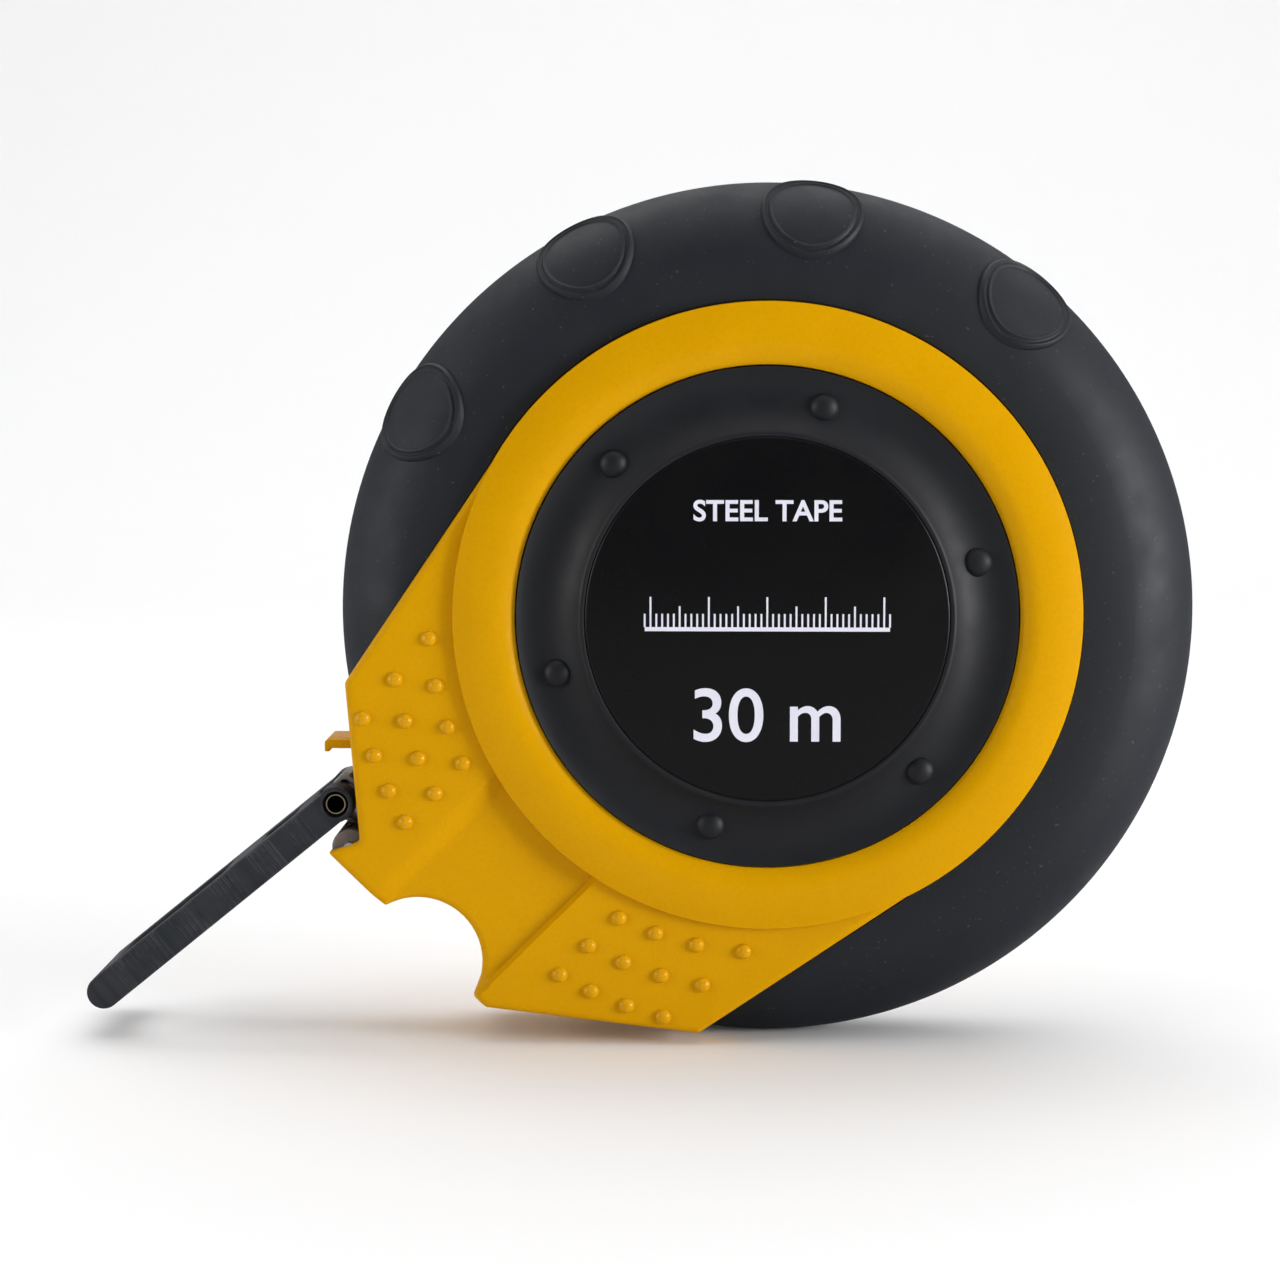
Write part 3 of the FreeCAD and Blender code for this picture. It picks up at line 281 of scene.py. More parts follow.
class Paint:
    """Small helper that builds one procedural material node by node."""

    def __init__(self, name, colour, roughness, metallic=0.0):
        self.material = bpy.data.materials.new(name)
        self.material.use_nodes = True
        self.nodes = self.material.node_tree.nodes
        self.links = self.material.node_tree.links
        self.surface = self.nodes["Principled BSDF"]
        self.surface.inputs["Base Color"].default_value = (*colour, 1)
        self.surface.inputs["Roughness"].default_value = roughness
        self.surface.inputs["Metallic"].default_value = metallic
        self.colour = None
        self.base = (*colour, 1)
        self.place = self.nodes.new("ShaderNodeTexCoord").outputs["Object"]
        self.height = None
        self.rough = None
        self.base_rough = roughness

    def link(self, start, end):
        self.links.new(start, end)
        return self

    def mapped(self, scale):
        node = self.nodes.new("ShaderNodeMapping")
        node.inputs["Scale"].default_value = scale
        self.link(self.place, node.inputs["Vector"])
        return node.outputs["Vector"]

    def noise(self, scale, detail=3.0, rough=0.55, stretch=None):
        node = self.nodes.new("ShaderNodeTexNoise")
        node.inputs["Scale"].default_value = scale
        node.inputs["Detail"].default_value = detail
        node.inputs["Roughness"].default_value = rough
        self.link(self.mapped(stretch) if stretch else self.place, node.inputs["Vector"])
        return node.outputs["Fac"]

    def ramp(self, value, low, high, start=0.0, end=1.0):
        node = self.nodes.new("ShaderNodeMapRange")
        node.inputs["From Min"].default_value = low
        node.inputs["From Max"].default_value = high
        node.inputs["To Min"].default_value = start
        node.inputs["To Max"].default_value = end
        self.link(value, node.inputs["Value"])
        return node.outputs["Result"]

    def math(self, kind, first, second=0.5):
        node = self.nodes.new("ShaderNodeMath")
        node.operation = kind
        for index, value in enumerate((first, second)):
            if isinstance(value, (int, float)):
                node.inputs[index].default_value = value
            else:
                self.link(value, node.inputs[index])
        return node.outputs["Value"]

    def tint(self, factor, colour):
        """Mix a colour over what is there, by a factor from 0 to 1."""
        node = self.nodes.new("ShaderNodeMix")
        node.data_type = "RGBA"
        self.link(factor, node.inputs["Factor"])
        if self.colour is None:
            node.inputs[6].default_value = self.base
        else:
            self.link(self.colour, node.inputs[6])
        node.inputs[7].default_value = (*colour, 1)
        self.colour = node.outputs[2]
        self.link(self.colour, self.surface.inputs["Base Color"])
        return self

    def roughness(self, value, low, high, start, end):
        self.link(self.ramp(value, low, high, start, end), self.surface.inputs["Roughness"])
        return self

    def bump(self, value, depth_mm, strength=1.0):
        """Add a bump layer; layers stack."""
        node = self.nodes.new("ShaderNodeBump")
        node.inputs["Strength"].default_value = strength
        node.inputs["Distance"].default_value = depth_mm * MM
        self.link(value, node.inputs["Height"])
        if self.height is not None:
            self.link(self.height, node.inputs["Normal"])
        self.height = node.outputs["Normal"]
        self.link(self.height, self.surface.inputs["Normal"])
        return self

    def edges(self, colour, strength=0.5, size_mm=0.5):
        """Paler edges, partly wear and partly a painted highlight along the rounded edges, from the difference
        between the bevelled and the true normal.
        """
        round_node = self.nodes.new("ShaderNodeBevel")
        round_node.samples = 4
        round_node.inputs["Radius"].default_value = size_mm * MM
        geometry = self.nodes.new("ShaderNodeNewGeometry")
        dot = self.nodes.new("ShaderNodeVectorMath")
        dot.operation = "DOT_PRODUCT"
        self.link(round_node.outputs["Normal"], dot.inputs[0])
        self.link(geometry.outputs["Normal"], dot.inputs[1])
        # pale tint on convex edges: part wear, part painted highlight
        wear_and_highlight = self.ramp(dot.outputs["Value"], 0.995, 0.90, 0.0, strength)
        patches = self.ramp(self.noise(350.0, 2.0), 0.35, 0.7)
        return self.tint(self.math("MULTIPLY", wear_and_highlight, patches), colour)


def mottled(paint, dark, light, scale=60.0, amount=0.5):
    """Slow colour drift between two tones."""
    paint.tint(paint.ramp(paint.noise(scale, 4.0), 0.35, 0.7, 0.0, amount), dark)
    paint.tint(paint.ramp(paint.noise(scale * 0.37, 2.0), 0.4, 0.75, 0.0, amount), light)
    return paint


def yellow_plastic(name="yellow_shell_plastic", gloss=0.05, low=0.24, high=0.34):
    paint = Paint(name, (0.62, 0.305, 0.0004), 0.3)
    mottled(paint, (0.55, 0.262, 0.0003), (0.64, 0.315, 0.0006), 90.0, 0.35)
    paint.tint(paint.ramp(paint.noise(1800.0, 2.0), 0.42, 0.75, 0.0, 0.3), (0.50, 0.235, 0.0003))
    # paler edges: part wear, part painted highlight
    paint.edges((0.80, 0.46, 0.01), 0.35, 0.4)
    paint.bump(paint.noise(3000.0, 2.0, 0.5), 0.02, 0.5)
    paint.bump(paint.noise(700.0, 3.0), 0.02, 0.25)
    paint.roughness(paint.noise(160.0, 4.0), 0.3, 0.7, low, high)
    paint.surface.inputs["Subsurface Weight"].default_value = 0.04
    paint.surface.inputs["Subsurface Radius"].default_value = (0.002, 0.001, 0.0004)
    paint.surface.inputs["Specular IOR Level"].default_value = gloss
    return paint.material


def black_rubber():
    paint = Paint("grip_rubber", (0.0055, 0.0078, 0.0125), 0.55)
    mottled(paint, (0.0042, 0.0058, 0.0092), (0.0095, 0.0122, 0.0175), 70.0, 0.45)
    # paler edges: part wear, part painted highlight
    paint.edges((0.030, 0.032, 0.036), 0.4, 0.5)
    dust = paint.ramp(paint.noise(1500.0, 1.0), 0.72, 0.78, 0.0, 0.35)
    paint.tint(dust, (0.10, 0.10, 0.10))
    paint.bump(paint.noise(2200.0, 2.0, 0.6), 0.02, 0.6)
    paint.bump(paint.noise(260.0, 4.0), 0.05, 0.2)
    paint.roughness(paint.noise(120.0, 5.0), 0.3, 0.7, 0.52, 0.66)
    paint.surface.inputs["Specular IOR Level"].default_value = 0.36
    return paint.material


def black_plastic(name="cover_plastic", colour=(0.0066, 0.0073, 0.0098), low=0.46, high=0.6):
    paint = Paint(name, colour, (low + high) / 2)
    mottled(paint, tuple(c * 0.75 for c in colour), tuple(c * 1.6 for c in colour), 80.0, 0.4)
    # paler edges: part wear, part painted highlight
    paint.edges(tuple(c * 5 for c in colour), 0.3, 0.35)
    paint.bump(paint.noise(2400.0, 2.0, 0.6), 0.015, 0.5)
    paint.roughness(paint.noise(140.0, 5.0), 0.3, 0.7, low, high)
    paint.surface.inputs["Specular IOR Level"].default_value = 0.3
    return paint.material


def label_film():
    paint = Paint("label_film", (0.0030, 0.0030, 0.0036), 0.3)
    mottled(paint, (0.0022, 0.0022, 0.0028), (0.0050, 0.0050, 0.0056), 50.0, 0.4)
    paint.bump(paint.noise(420.0, 3.0), 0.006, 0.4)
    paint.roughness(paint.noise(60.0, 5.0), 0.3, 0.7, 0.22, 0.36)
    paint.surface.inputs["Specular IOR Level"].default_value = 0.2
    return paint.material


def label_ink():
    paint = Paint("label_ink", (0.70, 0.70, 0.80), 0.45)
    mottled(paint, (0.62, 0.62, 0.72), (0.78, 0.78, 0.86), 200.0, 0.4)
    paint.bump(paint.noise(1500.0, 2.0), 0.004, 0.4)
    paint.roughness(paint.noise(300.0, 3.0), 0.3, 0.7, 0.38, 0.55)
    return paint.material


def grey_plastic():
    """Dark grey moulding with faint bands across its length."""
    paint = Paint("end_ring_plastic", (0.0155, 0.019, 0.0245), 0.5)
    mottled(paint, (0.015, 0.016, 0.019), (0.032, 0.034, 0.038), 160.0, 0.5)
    run = paint.nodes.new("ShaderNodeVectorMath")
    run.operation = "DOT_PRODUCT"
    paint.link(paint.place, run.inputs[0])
    run.inputs[1].default_value = (math.cos(END_RING_TURN), 0, math.sin(END_RING_TURN))
    bands = paint.nodes.new("ShaderNodeTexNoise")
    bands.noise_dimensions = "1D"
    bands.inputs["Scale"].default_value = 520.0
    bands.inputs["Detail"].default_value = 3.0
    paint.link(run.outputs["Value"], bands.inputs["W"])
    paint.tint(paint.ramp(bands.outputs["Fac"], 0.5, 0.72, 0.0, 0.55), (0.009, 0.010, 0.014))
    paint.tint(paint.ramp(bands.outputs["Fac"], 0.45, 0.3, 0.0, 0.2), (0.038, 0.038, 0.038))
    # paler edges: part wear, part painted highlight
    paint.edges((0.14, 0.14, 0.15), 0.5, 0.35)
    paint.bump(paint.noise(1800.0, 3.0, 0.6), 0.02, 0.6)
    paint.roughness(paint.noise(220.0, 5.0), 0.3, 0.7, 0.40, 0.6)
    paint.surface.inputs["Specular IOR Level"].default_value = 0.3
    return paint.material


def steel(name="plated_steel", colour=(0.55, 0.55, 0.53), low=0.18, high=0.38, stretch=(1.0, 0.05, 1.0)):
    paint = Paint(name, colour, (low + high) / 2, 1.0)
    mottled(paint, tuple(c * 0.7 for c in colour), tuple(min(1, c * 1.25) for c in colour), 200.0, 0.4)
    streaks = paint.noise(1400.0, 4.0, 0.6, stretch)
    paint.bump(streaks, 0.01, 0.5)
    paint.roughness(streaks, 0.3, 0.7, low, high)
    return paint.material


def strap_steel():
    """Plated strap with a few dark stamped marks."""
    paint = Paint("strap_steel", (0.34, 0.34, 0.33), 0.34, 0.3)
    mottled(paint, (0.24, 0.24, 0.23), (0.46, 0.46, 0.44), 220.0, 0.4)
    marks = paint.ramp(paint.noise(620.0, 1.0, 0.4, (0.8, 1.6, 1.0)), 0.60, 0.63, 0.0, 0.85)
    paint.tint(marks, (0.02, 0.02, 0.02))
    paint.bump(paint.noise(1500.0, 3.0), 0.01, 0.5)
    paint.roughness(paint.noise(260.0, 4.0), 0.3, 0.7, 0.26, 0.46)
    return paint.material


def tape_lacquer():
    """Light lacquered tape with a fine dark scale along its length."""
    paint = Paint("tape_lacquer", (0.42, 0.42, 0.40), 0.32)
    mottled(paint, (0.36, 0.36, 0.34), (0.50, 0.50, 0.47), 150.0, 0.4)
    place = paint.nodes.new("ShaderNodeVectorMath")
    place.operation = "DOT_PRODUCT"
    paint.link(paint.place, place.inputs[0])
    place.inputs[1].default_value = tuple(ALONG)
    run = place.outputs["Value"]
    split = paint.nodes.new("ShaderNodeSeparateXYZ")
    paint.link(paint.place, split.inputs["Vector"])
    across = paint.math("SUBTRACT", split.outputs["Y"], MID * MM)
    for pitch, width, reach in ((1.0, 0.22, 4.3), (5.0, 0.3, 2.6), (10.0, 0.45, -1.0)):
        wave = paint.math("PINGPONG", run, pitch * MM / 2)
        line = paint.math("LESS_THAN", wave, width * MM / 2)
        inside = paint.math("GREATER_THAN", across, reach * MM)
        paint.tint(paint.math("MULTIPLY", line, inside), (0.012, 0.012, 0.014))
    paint.bump(paint.noise(1600.0, 2.0), 0.004, 0.4)
    paint.roughness(paint.noise(180.0, 3.0), 0.3, 0.7, 0.26, 0.42)
    return paint.material


def coil_edge():
    """Edge of the wound tape: fine rings of bright and dark."""
    paint = Paint("coil_steel", (0.45, 0.45, 0.43), 0.35, 0.8)
    split = paint.nodes.new("ShaderNodeSeparateXYZ")
    paint.link(paint.place, split.inputs["Vector"])
    x2 = paint.math("MULTIPLY", split.outputs["X"], split.outputs["X"])
    z2 = paint.math("MULTIPLY", split.outputs["Z"], split.outputs["Z"])
    radius = paint.math("SQRT", paint.math("ADD", x2, z2))
    turns = paint.math("PINGPONG", radius, 0.35 * MM)
    paint.tint(paint.ramp(turns, 0.0, 0.35 * MM, 0.7, 0.0), (0.05, 0.05, 0.05))
    paint.tint(paint.ramp(paint.noise(90.0, 3.0), 0.4, 0.7, 0.0, 0.4), (0.30, 0.30, 0.28))
    paint.bump(turns, 0.05, 0.6)
    paint.roughness(paint.noise(200.0, 4.0), 0.3, 0.7, 0.28, 0.5)
    return paint.material


def nylon(name="nylon", colour=(0.62, 0.60, 0.52)):
    paint = Paint(name, colour, 0.5)
    mottled(paint, tuple(c * 0.85 for c in colour), tuple(min(1, c * 1.1) for c in colour), 120.0, 0.4)
    paint.bump(paint.noise(1500.0, 2.0), 0.01, 0.4)
    paint.roughness(paint.noise(200.0, 3.0), 0.3, 0.7, 0.42, 0.58)
    return paint.material


YELLOW = yellow_plastic()
STUD_YELLOW = yellow_plastic("yellow_stud_plastic", 0.20, 0.14, 0.22)
RUBBER = black_rubber()
COVER = black_plastic()
CRANK = black_plastic("crank_plastic", (0.014, 0.014, 0.016), 0.38, 0.52)
DRUM = black_plastic("drum_plastic", (0.07, 0.07, 0.075), 0.4, 0.55)
FILM = label_film()
INK = label_ink()
GREY = grey_plastic()
ROLLER_GREY = black_plastic("roller_plastic", (0.13, 0.105, 0.09), 0.18, 0.3)
STEEL = steel()
BRASS = steel("nickelled_brass", (0.50, 0.42, 0.26), 0.25, 0.45)
STRAP = strap_steel()
# near-black copy of the brass: painted shade for the rivet's bore and flanges
BRASS_PAINTED_SHADE = steel("brass_painted_shade", (0.030, 0.026, 0.020), 0.45, 0.65)
TAPE = tape_lacquer()
COIL = coil_edge()
NYLON = nylon()

NODE_PAINT = {
    "spindle": STEEL, "end_washer": STEEL, "spindle_screw": STEEL, "housing_screws": STEEL,
    "drum_screws": STEEL, "crank_hinge_pin": STEEL, "knob_pin": STEEL, "roller_pin": STEEL,
    "fitting_rivets": STEEL, "end_fitting": STEEL, "thrust_washer": NYLON, "drum_bush": NYLON,
    "drum_hub": DRUM, "front_flange": DRUM, "rear_flange": DRUM, "tape_coil": COIL,
    "tape_lead": TAPE, "end_rivet": BRASS, "front_shell": YELLOW, "rear_shell": YELLOW,
    "ring_catch": YELLOW, "front_grip": RUBBER, "rear_grip": RUBBER, "hub_cover": COVER,
    "label_disc": FILM, "crank_disc": CRANK, "crank_arm": CRANK, "knob": CRANK,
    "mouth_roller": ROLLER_GREY, "end_ring": GREY,
}


def coat(thing, material):
    thing.data.materials.clear()
    thing.data.materials.append(material)
    return thing


for node_name, node in frame["nodes"].items():
    coat(node, NODE_PAINT[node_name])


# ---------------------------------------------------------------- case shells

NOTCH_R = 11.3
NOTCH_OUT = 86.3
NOTCH_HALF = 10.92
SHOULDER = (60.2, 43.6)
NOSE_END = 83.4
FOOT = 14.1
BEAK = (83.6, 24.8)
MOUTH = (78.2, 22.2)
TOUCH = math.radians(80.9)
CHANNEL_IN = 11.0
CHANNEL_RAMP = {1: 3.1, -1: 0.75}
CHANNEL_DEEP = 1.5
SCREW_OUT = 78.9
SCREW_SIDE = 15.4
CATCH = {"tip": -78.05, "top": -22.83, "under": -24.36, "lip": -24.94, "half": 6.4}
CATCH_ROOT = -70.0


def nose_outline():
    """Outline of the nose as (distance along its axis, distance towards the mouth)."""
    near = (RING_OUT * math.cos(TOUCH), RING_OUT * math.sin(TOUCH))
    notch_out = NOTCH_OUT - math.sqrt(NOTCH_R**2 - NOTCH_HALF**2)
    swing = math.degrees(math.asin(NOTCH_HALF / NOTCH_R))
    notch = arc((NOTCH_OUT, 0), NOTCH_R, 180 - swing, 180 + swing, 25)
    wall = (near[0] - 6, near[1] - 6.5)
    corners = [wall, near, SHOULDER, MOUTH, BEAK] + notch
    corners += [(NOSE_END + 0.25, -NOTCH_HALF - 0.35), (NOSE_END, -FOOT), (SHOULDER[0], -SHOULDER[1]),
                (near[0], -near[1]), (wall[0], -wall[1])]
    rounding = [0, 0, 1.6, 0.9, 0.5, 0.7] + [0] * (len(notch) - 2) + [0.8, 0.4, 1.3, 1.6, 0, 0]
    return rounded(corners, rounding)


def stud_places():
    """Studs of the upper panel: three arcs about the drum axis."""
    rows = [
        (58.7, (183.8, 191.9, 199.2, 205.9)),
        (65.5, (189.7, 196.2, 202.3, 208.2)),
        (72.5, (194.3, 199.6, 204.9, 209.8)),
    ]
    for radius, turns in rows:
        for turn in turns:
            off = math.radians(turn - 225)
            out, across = radius * math.cos(off), -radius * math.sin(off)
            yield out, across
            yield out, -across


def edge_distance(points, outline_points):
    """Distance of each point to a closed outline."""
    a = np.array(outline_points)
    b = np.roll(a, -1, axis=0)
    best = np.full(len(points), 1e9)
    for start, end in zip(a, b):
        run = end - start
        size = run @ run
        if size < 1e-12:
            continue
        t = np.clip(((points - start) @ run) / size, 0, 1)
        best = np.minimum(best, np.linalg.norm(points - (start + t[:, None] * run), axis=1))
    return best


def smooth_step(value):
    value = np.clip(value, 0, 1)
    return value * value * (3 - 2 * value)


def nose_top(points, edge):
    """Depth of the nose's face: rounded rim, channel with sloping sides."""
    ramp = np.where(points[:, 1] > 0, CHANNEL_RAMP[1], CHANNEL_RAMP[-1])
    climb = np.clip((np.abs(points[:, 1]) - CHANNEL_IN) / ramp, 0, 1)
    channel = 1 - 0.75 * climb - 0.25 * smooth_step(climb)
    depth = NOSE_DEPTH - CHANNEL_DEEP * channel
    round_r = 1.3
    inside = np.clip(edge / round_r, 0, 1)
    return depth - round_r * (1 - np.sqrt(1 - (1 - inside) ** 2))


def inside_outline(points, outline_points):
    """Even-odd test of points against a closed outline."""
    result = np.zeros(len(points), bool)
    a = np.array(outline_points)
    b = np.roll(a, -1, axis=0)
    for (x0, y0), (x1, y1) in zip(a, b):
        crosses = (y0 > points[:, 1]) != (y1 > points[:, 1])
        if y0 == y1:
            continue
        at = x0 + (points[:, 1] - y0) * (x1 - x0) / (y1 - y0)
        result ^= crosses & (points[:, 0] < at)
    return result


def resample(points, step):
    """The same closed outline with points no further apart than the step."""
    result = []
    for i, p in enumerate(points):
        q = points[(i + 1) % len(points)]
        length = math.dist(p, q)
        parts = max(1, int(math.ceil(length / step)))
        for k in range(parts):
            t = k / parts
            result.append((p[0] + (q[0] - p[0]) * t, p[1] + (q[1] - p[1]) * t))
    return result


def nose_solid(side):
    """Closed nose block from the mid-plane to its detailed face."""
    shape = resample(nose_outline(), 1.2)
    ring = np.array(shape)
    loops = [ring]
    forward = np.roll(ring, -1, axis=0) - ring
    forward /= np.linalg.norm(forward, axis=1)[:, None]
    blend_dir = forward + np.roll(forward, 1, axis=0)
    blend_dir /= np.linalg.norm(blend_dir, axis=1)[:, None]
    area = 0.5 * np.sum(ring[:, 0] * np.roll(ring[:, 1], -1) - np.roll(ring[:, 0], -1) * ring[:, 1])
    inward = np.stack([-blend_dir[:, 1], blend_dir[:, 0]], axis=1) * (1 if area > 0 else -1)
    for inset in (0.08, 0.25, 0.5, 0.85, 1.3):
        loops.append(ring + inward * inset)
    steps = list(np.arange(-56, -CHANNEL_IN - CHANNEL_RAMP[-1], 1.1))
    steps += list(np.linspace(-CHANNEL_IN - CHANNEL_RAMP[-1], -CHANNEL_IN, 4))
    steps += list(np.arange(-CHANNEL_IN + 1.1, CHANNEL_IN - 0.5, 1.1))
    steps += list(np.linspace(CHANNEL_IN, CHANNEL_IN + CHANNEL_RAMP[1], 8))
    steps += list(np.arange(CHANNEL_IN + CHANNEL_RAMP[1] + 1.1, 56, 1.1))
    grid = [(out, across) for out in np.arange(0.25, 90, 1.1) for across in steps]
    grid = np.array(grid)
    clear = edge_distance(grid, ring)
    grid = grid[inside_outline(grid, ring) & (clear > 1.8)]
    points = np.concatenate(loops + [grid])
    edge = edge_distance(points, ring)
    edge[: len(ring)] = 0.0
    count = len(ring)
    links = [(i, (i + 1) % count) for i in range(count)]
    flat, _, tris, kept, _, _ = delaunay_2d_cdt([Vector(p) for p in points], links, [], 1, 1e-6)
    origin = [source[0] if source else -1 for source in kept]
    tops = nose_top(points, edge)
    verts = []
    for place, source in zip(flat, origin):
        x, z = nose_xz(place[0], place[1])
        verts.append((x, face_y(side, tops[source]), z))
    faces = [list(t) for t in tris]
    rim = {}
    for index, source in enumerate(origin):
        if source < count:
            rim[source] = index
    base = len(verts)
    for i in range(count):
        x, z = nose_xz(*shape[i])
        verts.append((x, face_y(side, 0.0), z))
    for i in range(count):
        n = (i + 1) % count
        faces.append([rim[i], rim[n], base + n, base + i])
    faces.append([base + i for i in range(count)])
    return new_object("nose", verts, faces, 40.0)


def cup_profile(side):
    """Closed outline of the cup and its raised ring, as (radius, Y)."""
    edge = RING_EDGE[side]
    rise = RING_RISE[side]
    half = (RING_OUT - RING_IN) / 2
    crown = []
    for t in np.linspace(1, -1, 21):
        r = (RING_OUT + RING_IN) / 2 + t * (half - 0.5)
        share = (t + CROWN_SHIFT) / (1 + CROWN_SHIFT if t > -CROWN_SHIFT else 1 - CROWN_SHIFT)
        crown.append((r, edge - 0.12 + (rise + 0.12) * (1 - share**2)))
    inner = 6.0 if side == FRONT else 41.5
    profile = [
        (inner, 10.5), (45.0, 10.5), (45.0, edge - 1.7), (52.6, edge - 1.7), (52.6, 10.5), (66.2, 10.5),
        (70.3, 6.5), (70.3, 0), (72.5, 0), (72.5, 6.0), (64.6, 12.6), (RING_OUT, 12.6),
        (RING_OUT, edge - 0.55), (RING_OUT - 0.1, edge - 0.24),
    ]
    profile += crown
    profile += [(RING_IN + 0.1, edge - 0.24), (RING_IN, edge - 0.55), (RING_IN, 12.6), (inner, 12.6)]
    return [(r, face_y(side, depth)) for r, depth in profile]


def dome(name, x, z, side, depth, radius, height, steps=5, segments=20):
    """Small round-topped stud standing on a face, closed underneath."""
    profile = [(0, face_y(side, depth - 0.6)), (radius, face_y(side, depth - 0.6)),
               (radius, face_y(side, depth))]
    for k in range(1, steps + 1):
        t = math.pi / 2 * k / steps
        profile.append((radius * math.cos(t), face_y(side, depth + height * math.sin(t))))
    profile[-1] = (0, face_y(side, depth + height))
    return lathe(name, profile, segments, (x, z), 50.0)


def catch_slot(side):
    low = (CATCH["tip"] - 1, min(face_y(side, -0.01), face_y(side, CATCH["half"] + 0.05)), CATCH["under"] - 0.05)
    high = (CATCH_ROOT + 0.05, max(face_y(side, -0.01), face_y(side, CATCH["half"] + 0.05)), CATCH["top"] + 0.05)
    return box_solid("slot", low, high)


def yellow_shell(side, name):
    """Nose, raised ring and cup of one half as one moulding."""
    shell = nose_solid(side)
    space = [(0, -0.5), (71.2, -0.5), (71.2, 6.3), (65.6, 11.1), (53.5, 11.1), (53.5, 20.0), (0, 20.0)]
    hollow = lathe("hollow", [(r, face_y(side, depth)) for r, depth in space])
    combine(shell, hollow, "DIFFERENCE")
    cup = lathe("cup", cup_profile(side), 256)
    combine(shell, cup, "UNION")
    mouth = [
        (56, -38), (66, -28), (70.5, -12), (72, 8), (MOUTH[0] - 0.05, MOUTH[1]),
        (MOUTH[0] + 1.5 * (BEAK[0] - MOUTH[0]), MOUTH[1] + 1.5 * (BEAK[1] - MOUTH[1])),
        (87, 40), (75, 40), (70.36, 31.75), (62.6, 32.17), (56, 38),
    ]
    points = rounded([nose_xz(*p) for p in mouth], 0.8, 3)
    near, far = sorted((face_y(side, -0.5), face_y(side, CAVITY_DEPTH)))
    combine(shell, extrude_y("mouth", points, near, far), "DIFFERENCE")
    seat = arc((ROLLER.x, ROLLER.z), 3.55, 0, 350, 36)
    combine(shell, extrude_y("seat", seat, near, far), "DIFFERENCE")
    combine(shell, catch_slot(side), "DIFFERENCE")
    if side == REAR:
        for sign in (-1, 1):
            spot = nose_xz(SCREW_OUT, sign * SCREW_SIDE)
            for radius, low in ((1.3, 9.0), (2.65, 12.5)):
                tool = lathe("screw", [(0, face_y(side, low)), (radius, face_y(side, low)),
                                       (radius, face_y(side, 18)), (0, face_y(side, 18))], 40, spot)
                combine(shell, tool, "DIFFERENCE")
    shade(shell, 35.0)
    studs = []
    for out, across in stud_places():
        x, z = nose_xz(out, across)
        studs.append(dome("stud", x, z, side, NOSE_DEPTH, 1.38, 1.05))
    thing = merge(name, [shell] + studs, 38.0)
    coat(thing, YELLOW)
    thing.data.materials.append(STUD_YELLOW)
    for polygon in thing.data.polygons:
        spot = polygon.center / MM
        proud = (spot.y - MID) * side > NOSE_DEPTH + 0.03
        polygon.material_index = 1 if proud and math.hypot(spot.x, spot.z) > RING_OUT + 1 else 0
    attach(thing, "case")
    return thing


front = yellow_shell(FRONT, "front_case_shell")
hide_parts("front_shell")
rear = yellow_shell(REAR, "rear_case_shell")
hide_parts("rear_shell")


# ---------------------------------------------------------------- rubber grips

PAD_TURNS = [50.6 + 33.1 * k for k in range(4)]
PAD_R = 9.0
PAD_TOP = (70.5, 10.6)
SHOULDER_MID = (59.6, -1.23)
SHOULDER_R = 16.0
SHOULDER_TOP = 63.5
GRIP_FACE = 15.2


def shoulder_profile(rise=0.0):
    """Outside of the rubber as (radius, depth), from the rim to the face."""
    radius = SHOULDER_R + rise
    low = math.acos((CASE_R + rise - SHOULDER_MID[0]) / radius)
    high = math.acos((SHOULDER_TOP - SHOULDER_MID[0]) / radius)
    points = [(CASE_R + rise - 0.25, 0.0), (CASE_R + rise, 0.3)]
    points += arc(SHOULDER_MID, radius, math.degrees(low), math.degrees(high), 28)
    points += [(61.5, GRIP_FACE - 0.55 + rise), (58.5, GRIP_FACE - 0.2 + rise),
               (RING_OUT + 0.4, GRIP_FACE + rise), (RING_OUT + 0.05, GRIP_FACE - 0.3 + rise)]
    return points


def grip_profile(side):
    """Closed outline of the rubber cover with a round shoulder."""
    points = [(54.45, 12.65)] + shoulder_profile()[::-1] + [(72.55, 0.0), (72.55, 6.05), (64.65, 12.65)]
    return [(r, face_y(side, depth)) for r, depth in points]


def pad_height(away):
    """Height of a pad over the shoulder at a distance from its centre: two fine ridges and a flat."""
    outer = 0.42 * math.exp(-(((away - 8.5) / 0.3) ** 2))
    inner = 0.36 * math.exp(-(((away - 7.45) / 0.24) ** 2))
    return 0.42 + outer + inner


